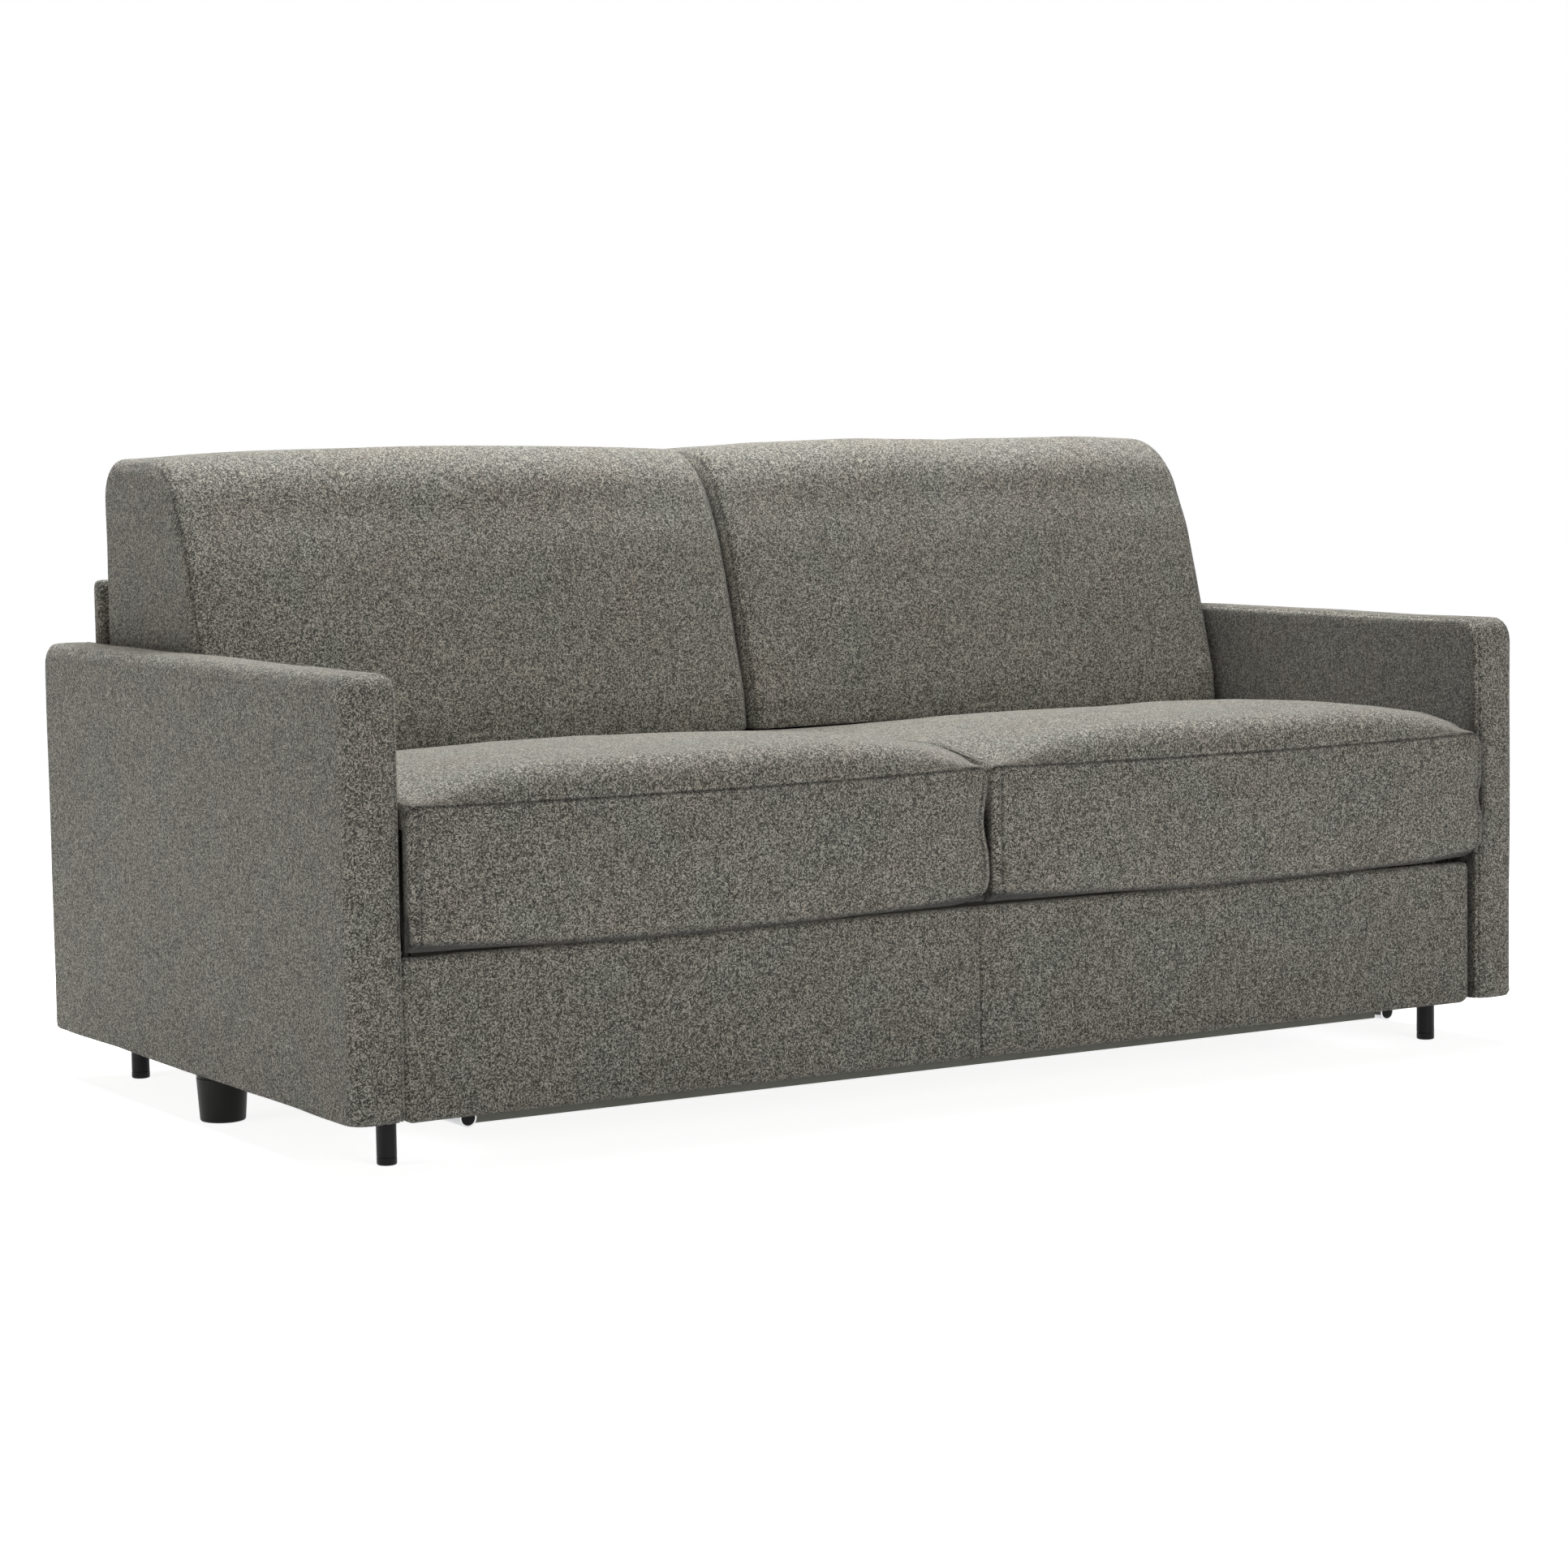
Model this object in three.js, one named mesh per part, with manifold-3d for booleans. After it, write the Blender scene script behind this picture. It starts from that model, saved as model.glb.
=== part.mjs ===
// A two-seat sofa whose seat and back turn forward over the front to make a double bed.
// The seat cushions lie on the underside of the middle deck and the back cushions on the underside
// of the foot deck. Two pairs of lift arms carry the head deck up and forward as the seat turns over.
// Millimetres. X runs across, Y runs back from the arm fronts, Z runs up from the floor.

import * as THREE from "three";
import { mergeVertices } from "three/addons/utils/BufferGeometryUtils.js";
import Module from "manifold-3d";

const wasm = await Module();
wasm.setup();

// Overall sizes
const overallWidth = 1800;
const armThickness = 68;
const armDepth = 990;
const armTop = 603;
const armBottom = 66;
const cushionReach = 30; // how far the seat cushions stand out past the arm fronts

// Clearances
const touch = 0.3; // between pieces that bear on each other
const cushionGap = 3; // between a cushion and the arm or the other cushion
const overrun = 8; // how far a cut runs past the face that it opens

// Arms
const armFrontRadius = 28;
const armRearRadius = 15;
const armFootRadius = 15;
const armEdge = 8; // softness of the padded edge

// Front and rear panels
const panelThickness = 23;
const panelEdge = 5;
const panelCorner = 8;
const frontPanelFace = 9;
const frontPanelBottom = 60.5;
const frontPanelTop = 261;
const rearPanelInset = 15; // from the rear ends of the arms
const rearPanelBottom = 70;
const rearPanelTop = 689;

// Base frame
const railWidth = 20;
const railHeight = 40;
const railBottom = 75;
const frontRailDrop = 9; // the front cross rail lies this much lower
const crossRailDepth = 25;
const rearRailSetback = 22; // from the rear panel to the rear cross rail
const legRadius = 12.5;
const legEdge = 1.5; // from the leg to the face of the arm
const frontLegY = 90;
const rearLegSetback = 69; // from the rear panel to the axis of the rear legs
const armFootTopRadius = 34;
const armFootFloorRadius = 29.5;
const armFootInset = 42; // from the outer face of the arm
const armFootY = 500;

// Lift arms
const liftLength = 180;
const liftHeight = 90;
const rearLiftInset = 20; // from the rear end of the head deck to the upper pivot
const liftSpacing = 320; // between the front and the rear pair
const liftHalfWidth = 11;
const plateThickness = 6;
const liftToRail = 5.7;
const liftToDeck = 10;
const pivotRadius = 7;
const pinInRail = 14;
const torqueRadius = 9;
const lugThickness = 8;
const openPivotGap = 0.6; // at the rear lift arms, whose upper pivots only bear sideways

// Decks
const deckTube = 25;
const stripThickness = 12;
const stripProud = 4; // of the tubes, on the mattress side
const stripWidth = 50;
const headDeckFace = 134; // mattress side
const headDeckFront = 160;
const headDeckSetback = 102; // from the rear panel
const headLegTubeY = 276;
const headStrips = 4;
const seatDeckFace = 387; // mattress side, which looks down while the sofa is closed
const seatDeckFront = 8;
const seatStrips = 4;
const foldSetback = 162; // from the rear panel to the hinge between the seat and the back
const foldZ = 403.5;
const foldGap = 15; // from that hinge to the deck on either side
const backDeckTop = 790;
const backStrips = 2;
const earRadius = 12;
const earInset = 38; // from the side of the deck
const foldPinRadius = 5;

// Mattress, in three lengths
const mattressInset = 10; // from the side of the deck
const mattressDepth = 121;
const mattressFoldGap = 5;
const seatMattressFront = 6;
const mattressPastDeck = 40; // at the foot end
const mattressCorner = 45;
const mattressEdge = 20;

// The turning hinge at the front
const turnY = 65.5;
const turnZ = 260.5;
const hookRadius = 11;
const hookRootY = 240;
const hookRiseY = 185; // behind the border that stands here when the bed is open
const hookTopZ = 269;
const hookNeckY = 105;
const turnElbowY = 100;
const turnRootY = 200;
const turnPinRadius = 6;
const turnPinHead = 10;
const turnPinHeadThickness = 3.5;

// Folding legs
const midLegInset = 68; // from the side of the deck
const midLegY = 288;
const midLegZ = 51.4;
const midLegRadius = 11.5;
const midLegLength = 229;
const midLegTail = 12; // past the pivot
const midLegBracketGap = 0.6;
const legPinRadius = 5;
const plugDepth = 15;
const plugWall = 2;
const plugProud = 1.2;
const plugChamfer = 3;
const barFromFoot = 13;
const barWidth = 30;
const barThickness = 12;
const barBelowAxis = 9.4;
const footLegInset = 90; // from the side of the deck
const footLegForward = 20.5; // from the back deck to the axis
const footLegRise = 24.5; // from the low end of the back deck
const footLegRadius = 12;
const footLegLength = 264;
const footLegTail = 10;
const footLegGap = 0.5;
const footBracketHalf = 14;
const footBracketPlate = 3.7;

// Seat cushions
const seatFace = 25; // front face, forward of the arm fronts
const seatLow = 268;
const seatSeamRise = 30; // from the underside of the slab to the seam
const seatSlabDepth = 67.7; // at its front edge, under the crown
const seatRearDepth = 30.7; // where it is tucked under the back cushion
const seatCrown = 15;
const seatTuck = 62; // how far the seat cushion runs back under the toe of the back cushion
const borderThickness = 27;
const seatEndRadius = 26;
const seatTopRadius = 50;
const seatRearRadius = 18;
const seamDepth = 4;
const borderBulge = 3;
const endDraw = 5; // how far the end faces are drawn in

// Back cushions
const backLow = 470;
const backToeLow = 458;
const backToPanel = 14;
const backTopCover = 28; // over the foot end of the mattress
const backShoulder = 62; // from the top down to the straight of the rear
const backTopRearDepth = 35; // these depths run forward from the rear face
const backTopFrontDepth = 240;
const backFrontUpperDepth = 286;
const backUpperShare = 0.651; // of the way up the front, from the toe
const backFrontLowerDepth = 323;
const backLowerShare = 0.32;
const backToeDepth = 360;
const backToeZ = 505;
const backCrown = 5;
const backNose = 100; // the turn from the top to the sloping front
const noseShare = 0.8; // of the way down that front
const backEndRadius = 30;
const topDrawShare = 0.33; // of the draw at the ends that the top takes
const backPocketLow = 670;
const pocketGap = 3.5; // round the deck and the mattress, apart from where they bear
const pocketRearGap = 1.5;

// Finish of the mesh
const arcSteps = 6;
const roundSides = 16;
const curveSteps = 5;
const endSteps = 4;
const middleSteps = 6;

// Places that follow from the sizes above
const armInner = overallWidth / 2 - armThickness;
const railOuter = armInner - touch;
const railInner = railOuter - railWidth;
const liftOuter = railInner - liftToRail;
const liftInner = liftOuter - plateThickness;
const deckHalf = liftInner - liftToDeck;
const frontPanelRear = frontPanelFace + panelThickness;
const rearPanelRear = armDepth - rearPanelInset;
const rearPanelFront = rearPanelRear - panelThickness;
const rearLegY = rearPanelFront - rearLegSetback;
const deckDepth = deckTube + stripProud;
const headDeckLow = headDeckFace - deckDepth;
const headDeckRear = rearPanelFront - headDeckSetback;
const headMattressTop = headDeckFace + mattressDepth;
const rearLiftY = headDeckRear - rearLiftInset - liftLength;
const frontLiftY = rearLiftY - liftSpacing;
const foldY = rearPanelFront - foldSetback;
const seatDeckTop = seatDeckFace + deckDepth;
const seatDeckRear = foldY - foldGap;
const seatSlabLow = seatDeckTop + touch;
const seatSeamHeight = seatSlabLow + seatSeamRise;
const seatTopEdge = seatSlabLow + seatSlabDepth;
const seatRearTop = seatSlabLow + seatRearDepth;
const seatMattressRear = foldY - mattressFoldGap;
const seatMattressLow = seatDeckFace - mattressDepth;
const backDeckFace = foldY + foldZ - seatDeckFace;
const backDeckFront = backDeckFace - deckDepth;
const backDeckLow = foldZ + foldGap;
const footMattressLow = foldZ + mattressFoldGap;
const footMattressRear = backDeckFace + mattressDepth;
const footMattressTop = backDeckTop + mattressPastDeck;
const earX = deckHalf - earInset;
const mattressHalfWidth = deckHalf - mattressInset;
const midLegX = deckHalf - midLegInset;
const footLegX = deckHalf - footLegInset;
const footLegY = backDeckFront - footLegForward;
const footLegZ = backDeckLow + footLegRise;
const backTop = footMattressTop + backTopCover;
const backFrontUpperZ = backToeZ + (backTop - backToeZ) * backUpperShare;
const backFrontLowerZ = backToeZ + (backTop - backToeZ) * backLowerShare;
const backRear = rearPanelFront - backToPanel;
const backTopRear = backRear - backTopRearDepth;
const backTopFront = backRear - backTopFrontDepth;
const backFrontUpperY = backRear - backFrontUpperDepth;
const backFrontLowerY = backRear - backFrontLowerDepth;
const backToeY = backRear - backToeDepth;
const seatRear = backToeY + seatTuck;
const modelMiddleY = (armDepth - cushionReach) / 2;

function standard(color, roughness, metalness) {
  return new THREE.MeshStandardMaterial({ color, roughness, metalness });
}

const sofaFabric = standard(0x77766f, 0.95, 0);
const mattressFabric = standard(0xe4e0d6, 0.9, 0);
const blackTube = standard(0x17181a, 0.4, 0.5);
const bedSteel = standard(0x6d6e66, 0.5, 0.6);
const brightTube = standard(0xb9bbbd, 0.25, 1);
const blackPlug = standard(0x101011, 0.6, 0);
const footPlastic = standard(0x1d1c1b, 0.55, 0);

// Turns a closed geometry into a solid that can be joined and cut.
function solid(geometry) {
  const bare = geometry.index ? geometry.toNonIndexed() : geometry.clone();
  bare.deleteAttribute("normal");
  bare.deleteAttribute("uv");
  const merged = mergeVertices(bare);
  return new wasm.Manifold(
    new wasm.Mesh({
      numProp: 3,
      vertProperties: merged.attributes.position.array,
      triVerts: new Uint32Array(merged.index.array),
    }),
  );
}

function geometryOf(made) {
  const mesh = made.getMesh();
  const geometry = new THREE.BufferGeometry();
  geometry.setAttribute("position", new THREE.BufferAttribute(mesh.vertProperties, 3));
  geometry.setIndex(new THREE.BufferAttribute(mesh.triVerts, 1));
  geometry.computeVertexNormals();
  return geometry;
}

function join(...geometries) {
  return geometryOf(geometries.map(solid).reduce((all, next) => all.add(next)));
}

function cut(geometry, ...tools) {
  return geometryOf(tools.map(solid).reduce((left, tool) => left.subtract(tool), solid(geometry)));
}

function block(x0, x1, y0, y1, z0, z1) {
  const geometry = new THREE.BoxGeometry(x1 - x0, y1 - y0, z1 - z0);
  return geometry.translate((x0 + x1) / 2, (y0 + y1) / 2, (z0 + z1) / 2);
}

// A round bar along X, Y or Z between two places on that axis.
function rod(radius, axis, from, to, middle, endRadius = radius) {
  const geometry = new THREE.CylinderGeometry(endRadius, radius, to - from, roundSides);
  geometry.translate(0, (from + to) / 2, 0);
  if (axis === "x") {
    geometry.rotateZ(-Math.PI / 2);
    return geometry.translate(0, middle[0], middle[1]);
  }
  if (axis === "y") return geometry.translate(middle[0], 0, middle[1]);
  geometry.rotateX(Math.PI / 2);
  return geometry.translate(middle[0], middle[1], 0);
}

// An outline drawn in Y and Z, carried across from x0 to x1, with softened edges if edge isn't zero.
function acrossX(outline, x0, x1, edge = 0) {
  const geometry = extrude(outline, x1 - x0, edge);
  const axes = new THREE.Matrix4().makeBasis(
    new THREE.Vector3(0, 1, 0),
    new THREE.Vector3(0, 0, 1),
    new THREE.Vector3(1, 0, 0),
  );
  return geometry.applyMatrix4(axes).translate(x0, 0, 0);
}

// An outline drawn in X and Z, carried back from y0 to y1.
function alongY(outline, y0, y1, edge = 0) {
  return extrude(outline, y1 - y0, edge).rotateX(Math.PI / 2).translate(0, y1, 0);
}

function extrude(outline, depth, edge) {
  const options = { depth, bevelEnabled: false, curveSegments: curveSteps };
  if (edge > 0) {
    options.depth = depth - 2 * edge;
    options.bevelEnabled = true;
    options.bevelThickness = edge;
    options.bevelSize = edge;
    options.bevelOffset = -edge;
    options.bevelSegments = 3;
  }
  return new THREE.ExtrudeGeometry(outline, options).translate(0, 0, edge);
}

// A rectangle whose corners have their own radii, from the lower left one round anticlockwise.
function rectangle(u0, u1, v0, v1, [r0, r1, r2, r3]) {
  const outline = new THREE.Shape();
  outline.moveTo(u0 + r0, v0);
  outline.lineTo(u1 - r1, v0);
  outline.quadraticCurveTo(u1, v0, u1, v0 + r1);
  outline.lineTo(u1, v1 - r2);
  outline.quadraticCurveTo(u1, v1, u1 - r2, v1);
  outline.lineTo(u0 + r3, v1);
  outline.quadraticCurveTo(u0, v1, u0, v1 - r3);
  outline.lineTo(u0, v0 + r0);
  outline.quadraticCurveTo(u0, v0, u0 + r0, v0);
  return outline;
}

// A flat bar with round ends between two places in the Y-Z plane.
function bar(from, to, radius, x0, x1) {
  const angle = Math.atan2(to[1] - from[1], to[0] - from[0]);
  const outline = new THREE.Shape();
  for (let step = 0; step <= 2 * arcSteps + 1; step++) {
    const atEnd = step <= arcSteps;
    const turned = angle - Math.PI / 2 + (Math.PI * (atEnd ? step : step - 1)) / arcSteps;
    const middle = atEnd ? to : from;
    const y = middle[0] + radius * Math.cos(turned);
    const z = middle[1] + radius * Math.sin(turned);
    if (step === 0) outline.moveTo(y, z);
    else outline.lineTo(y, z);
  }
  return acrossX(outline, x0, x1);
}

// A lug that hangs from a flat face at top and is round about its pivot.
function lug(pivot, radius, top, x0, x1) {
  const hanger = block(x0, x1, pivot[0] - radius, pivot[0] + radius, pivot[1], top);
  return join(hanger, rod(radius, "x", x0, x1, pivot));
}

// Sections in the Y-Z plane set side by side across X and closed with a fan at each end.
function loft(sections, startMiddle, endMiddle) {
  const count = sections[0].points.length;
  const positions = [];
  for (const section of sections)
    for (const point of section.points) positions.push(section.x, point.x, point.y);
  positions.push(...startMiddle, ...endMiddle);
  const faces = [];
  const last = sections.length - 1;
  for (let j = 0; j < count; j++) {
    const next = (j + 1) % count;
    for (let i = 0; i < last; i++) {
      const [a, b] = [i * count + j, i * count + next];
      faces.push(a, b, b + count, a, b + count, a + count);
    }
    faces.push(sections.length * count, next, j);
    faces.push(sections.length * count + 1, last * count + j, last * count + next);
  }
  const geometry = new THREE.BufferGeometry();
  geometry.setAttribute("position", new THREE.Float32BufferAttribute(positions, 3));
  geometry.setIndex(faces);
  return geometry;
}

// Stations across a cushion: its ends are rounded to a quarter circle and its middle is crowned.
// outlineAt takes the inset of the section and the share of the crown that it has.
function cushionForm(outlineAt, x0, x1, endRadius, middle) {
  const half = (x1 - x0) / 2;
  const centre = (x0 + x1) / 2;
  const offsets = [];
  for (let i = 0; i <= endSteps; i++) {
    const angle = (i / endSteps) * (Math.PI / 2);
    offsets.push([half - endRadius + endRadius * Math.cos(angle), endRadius * (1 - Math.sin(angle))]);
  }
  for (let i = 1; i < middleSteps; i++) offsets.push([(half - endRadius) * (1 - i / middleSteps), 0]);
  const stations = [
    ...offsets.map(([distance, inset]) => [-distance, inset]),
    [0, 0],
    ...offsets.map(([distance, inset]) => [distance, inset]).reverse(),
  ];
  const sections = stations.map(([distance, inset]) => {
    const crownShare = 1 - Math.pow(Math.abs(distance) / half, 4);
    return { x: centre + distance, points: outlineAt(inset, crownShare) };
  });
  return loft(sections, [x0 + endDraw, ...middle], [x1 - endDraw, ...middle]);
}

// The seat cushion's section: a border down the front, a seam, and a puffed top that falls to the back.
function seatOutline(inset, crownShare) {
  const front = -seatFace + inset;
  const rear = seatRear - inset;
  const low = seatLow + inset / 2;
  const top = seatTopEdge - inset;
  const rearTop = seatRearTop - inset / 2;
  const bulge = front - (cushionReach - seatFace) * crownShare;
  const puffed = (seatSeamHeight + top) / 2;
  const lip = Math.min(seatSeamHeight + seamDepth, puffed);
  const seam = front + seamDepth;
  const outline = new THREE.Shape();
  outline.moveTo(front + panelCorner, low);
  outline.lineTo(rear, low);
  outline.lineTo(rear, rearTop - seatRearRadius);
  outline.quadraticCurveTo(rear, rearTop, rear - seatRearRadius, rearTop);
  outline.quadraticCurveTo(
    (front + rear) / 2,
    (rearTop + top) / 2 + 2 * seatCrown * crownShare,
    front + seatTopRadius,
    top,
  );
  outline.quadraticCurveTo(bulge, top, bulge, puffed);
  outline.quadraticCurveTo(bulge, lip, seam, seatSeamHeight);
  outline.quadraticCurveTo(front - borderBulge, (seatSeamHeight + low) / 2, front, low + panelCorner);
  outline.quadraticCurveTo(front, low, front + panelCorner, low);
  return outline.getPoints(curveSteps).slice(0, -1);
}

function seatCushion() {
  const x0 = cushionGap;
  const x1 = armInner - cushionGap;
  const middle = [(seatRear - seatFace) / 2, seatSeamHeight];
  const form = cushionForm(seatOutline, x0, x1, seatEndRadius, middle);
  const under = block(
    x0 - overrun,
    x1 + overrun,
    borderThickness - seatFace,
    seatRear + overrun,
    seatLow - overrun,
    seatSlabLow,
  );
  return cut(form, under);
}

// The back cushion's section: a wedge that is thick at the seat and rolls over the top of the back.
function backOutline(inset, crownShare) {
  const rear = backRear - inset;
  const top = backTop - inset * topDrawShare;
  const crown = top + 2 * backCrown * crownShare;
  const outline = new THREE.Shape();
  outline.moveTo(backToeY + inset, backToeLow + inset);
  outline.lineTo(rear, backLow + inset);
  outline.lineTo(rear, top - backShoulder);
  outline.quadraticCurveTo(rear, top, backTopRear, top);
  const nose = backTopFront + inset;
  const noseY = nose + (backFrontUpperY + inset - nose) * noseShare;
  const noseZ = top + (backFrontUpperZ - top) * noseShare;
  outline.quadraticCurveTo((backTopRear + nose) / 2, crown, nose + backNose, top);
  outline.quadraticCurveTo(nose, top, noseY, noseZ);
  outline.splineThru([
    new THREE.Vector2(backFrontUpperY + inset, backFrontUpperZ),
    new THREE.Vector2(backFrontLowerY + inset, backFrontLowerZ),
    new THREE.Vector2(backToeY + inset, backToeZ),
  ]);
  outline.lineTo(backToeY + inset, backToeLow + inset);
  return outline.getPoints(curveSteps).slice(0, -1);
}

function backCushion() {
  const x0 = cushionGap;
  const x1 = armInner - cushionGap;
  const middle = [(backToeY + backRear) / 2, (backLow + backTop) / 2];
  const form = cushionForm(backOutline, x0, x1, backEndRadius, middle);
  const inside = deckHalf + pocketGap;
  const rear = footMattressRear + pocketRearGap;
  const low = backLow - overrun;
  const deckPocket = block(
    x0 - overrun,
    inside,
    backDeckFront - touch,
    rear,
    low,
    backDeckTop + pocketGap,
  );
  const mattressPocket = block(
    x0 - overrun,
    inside,
    backDeckFace - pocketGap,
    rear,
    low,
    footMattressTop + touch,
  );
  const openBack = block(x0 - overrun, inside, backDeckFace, backRear + overrun, low, backPocketLow);
  return cut(form, deckPocket, mattressPocket, openBack);
}

function arm() {
  const corners = [armFootRadius, armFootRadius, armRearRadius, armFrontRadius];
  const outline = rectangle(0, armDepth, armBottom, armTop, corners);
  return acrossX(outline, armInner, armInner + armThickness, armEdge);
}

function panel(y0, z0, z1) {
  const corners = [panelCorner, panelCorner, panelCorner, panelCorner];
  const outline = rectangle(-railOuter, railOuter, z0, z1, corners);
  return alongY(outline, y0, y0 + panelThickness, panelEdge);
}

function sideRail() {
  const rail = block(
    railInner,
    railOuter,
    frontPanelRear + touch,
    rearPanelFront - touch,
    railBottom,
    railBottom + railHeight,
  );
  const holes = [frontLiftY, rearLiftY].map((y) =>
    rod(pivotRadius + touch, "x", railInner - overrun, liftOuter + pinInRail, [y, liftHeight]),
  );
  return cut(rail, ...holes);
}

function crossRail(y0, z0) {
  const half = railInner - touch;
  return block(-half, half, y0, y0 + crossRailDepth, z0, z0 + railHeight);
}

// A lift arm lies level while the sofa is closed, with its lower pivot in the side rail.
function liftArm(y, innerReach, innerRadius) {
  const low = [y, liftHeight];
  const high = [y + liftLength, liftHeight];
  const pinEnd = liftOuter + pinInRail - touch;
  return join(
    bar(low, high, liftHalfWidth, liftInner, liftOuter),
    rod(pivotRadius, "x", liftInner + touch, pinEnd, low),
    rod(innerRadius, "x", innerReach, liftOuter - touch, high),
  );
}

function torqueTube(y) {
  const half = liftInner - touch;
  return rod(torqueRadius, "x", -half, half, [y, liftHeight]);
}

function liftLug(y, drilled) {
  const pivot = [y + liftLength, liftHeight];
  const made = lug(pivot, liftHalfWidth, headDeckLow - touch, deckHalf - lugThickness, deckHalf);
  if (!drilled) return made;
  const hole = rod(pivotRadius + touch, "x", deckHalf - lugThickness - overrun, deckHalf + overrun, pivot);
  return cut(made, hole);
}

// A welded deck: two side tubes, cross tubes and flat strips, laid along u with its strips uppermost.
function deck(length, stripCount, extraTubes) {
  const pieces = [-1, 1].map((side) => {
    const middle = side * (deckHalf - deckTube / 2);
    return block(middle - deckTube / 2, middle + deckTube / 2, 0, length, 0, deckTube);
  });
  for (const u of [0, length - deckTube, ...extraTubes])
    pieces.push(block(-deckHalf, deckHalf, u, u + deckTube, 0, deckTube));
  const pitch = (length - 2 * deckTube - stripCount * stripWidth) / (stripCount + 1) + stripWidth;
  for (let i = 1; i <= stripCount; i++) {
    const u = deckTube + i * pitch - stripWidth;
    pieces.push(block(-deckHalf, deckHalf, u, u + stripWidth, deckDepth - stripThickness, deckDepth));
  }
  return join(...pieces);
}

function headDeck() {
  const made = deck(headDeckRear - headDeckFront, headStrips, [headLegTubeY - headDeckFront]);
  return made.translate(0, headDeckFront, headDeckLow);
}

function seatDeck() {
  const turned = deck(seatDeckRear - seatDeckFront, seatStrips, []).rotateX(Math.PI);
  turned.translate(0, seatDeckRear, seatDeckTop);
  const pieces = [turned];
  const holes = [];
  const fold = [foldY, foldZ];
  for (const side of [-1, 1]) {
    const middle = side * (earX + plateThickness / 2);
    const [x0, x1] = [middle - plateThickness / 2, middle + plateThickness / 2];
    pieces.push(bar([seatDeckRear - earRadius, foldZ], fold, earRadius, x0, x1));
    holes.push(rod(foldPinRadius + touch, "x", x0 - overrun, x1 + overrun, fold));
  }
  return cut(join(...pieces), ...holes);
}

function backDeck() {
  const length = backDeckTop - backDeckLow;
  const turned = deck(length, backStrips, []).rotateX(-Math.PI / 2);
  turned.translate(0, backDeckFront, backDeckTop);
  const pieces = [turned];
  const fold = [foldY, foldZ];
  for (const side of [-1, 1]) {
    const middle = side * (earX - touch - plateThickness / 2);
    const [x0, x1] = [middle - plateThickness / 2, middle + plateThickness / 2];
    pieces.push(bar(fold, [foldY, backDeckLow + earRadius], earRadius, x0, x1));
    const pinMiddle = side * earX;
    pieces.push(rod(foldPinRadius, "x", pinMiddle - plateThickness, pinMiddle + plateThickness, fold));
  }
  return join(...pieces);
}

function mattressOutline(v0, v1) {
  const corners = [mattressCorner, mattressCorner, mattressCorner, mattressCorner];
  return rectangle(-mattressHalfWidth, mattressHalfWidth, v0, v1, corners);
}

function flatMattress(y0, y1, z0, z1) {
  return extrude(mattressOutline(y0, y1), z1 - z0, mattressEdge).translate(0, 0, z0);
}

function footMattress() {
  const outline = mattressOutline(footMattressLow, footMattressTop);
  return alongY(outline, backDeckFace + touch, footMattressRear, mattressEdge);
}

// The hooked bracket that carries the turning hinge in front of the head deck. It climbs beside the
// mattress and reaches over the place that the front border of the seat takes in the open bed.
function hingeBracket() {
  const x0 = deckHalf + touch;
  const x1 = x0 + plateThickness;
  const deckLine = headDeckLow + deckTube / 2;
  const route = [
    [hookRootY, deckLine],
    [hookRiseY, deckLine],
    [hookRiseY, hookTopZ],
    [hookNeckY, hookTopZ],
    [turnY, turnZ],
  ];
  const bars = route.slice(1).map((end, i) => bar(route[i], end, hookRadius, x0, x1));
  return cut(join(...bars), rod(turnPinRadius + touch, "x", x0 - overrun, x1 + overrun, [turnY, turnZ]));
}

function turnPlate() {
  const radius = deckTube / 2;
  const line = seatDeckTop - radius;
  const made = join(
    bar([turnY, turnZ], [turnElbowY, line], radius, liftInner, liftOuter),
    bar([turnElbowY, line], [turnRootY, line], radius, deckHalf + touch, liftOuter),
  );
  return cut(made, rod(turnPinRadius + touch, "x", liftInner - overrun, liftOuter + overrun, [turnY, turnZ]));
}

function turnPin() {
  const headStart = liftOuter + touch;
  return join(
    rod(turnPinRadius, "x", deckHalf + touch, headStart + touch, [turnY, turnZ]),
    rod(turnPinHead, "x", headStart, headStart + turnPinHeadThickness, [turnY, turnZ]),
  );
}

function midLegBracket() {
  const x0 = midLegX + midLegRadius + midLegBracketGap;
  const x1 = x0 + plateThickness;
  const pivot = [midLegY, midLegZ];
  const hanger = lug(pivot, liftHalfWidth, headDeckLow - touch, x0, x1);
  return join(hanger, rod(legPinRadius, "x", midLegX - midLegRadius, x1 - touch, pivot));
}

function midLeg() {
  const foot = midLegY - midLegLength;
  const middle = [midLegX, midLegZ];
  const tube = rod(midLegRadius, "y", foot, midLegY + midLegTail, middle);
  const mouth = rod(midLegRadius - plugWall, "y", foot - overrun, foot + plugDepth, middle);
  const x0 = midLegX - midLegRadius - overrun;
  const x1 = midLegX + midLegRadius + overrun;
  return cut(tube, mouth, rod(legPinRadius + touch, "x", x0, x1, [midLegY, midLegZ]));
}

function midLegPlug() {
  const foot = midLegY - midLegLength;
  const radius = midLegRadius - plugWall - touch;
  const middle = [midLegX, midLegZ];
  return join(
    rod(radius - plugChamfer, "y", foot - plugProud, foot, middle, radius),
    rod(radius, "y", foot - touch, foot + plugDepth - touch, middle),
  );
}

function midLegBar() {
  const half = midLegX - midLegRadius - touch;
  const y0 = midLegY - midLegLength + barFromFoot;
  const z0 = midLegZ - barBelowAxis;
  return block(-half, half, y0, y0 + barWidth, z0, z0 + barThickness);
}

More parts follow.
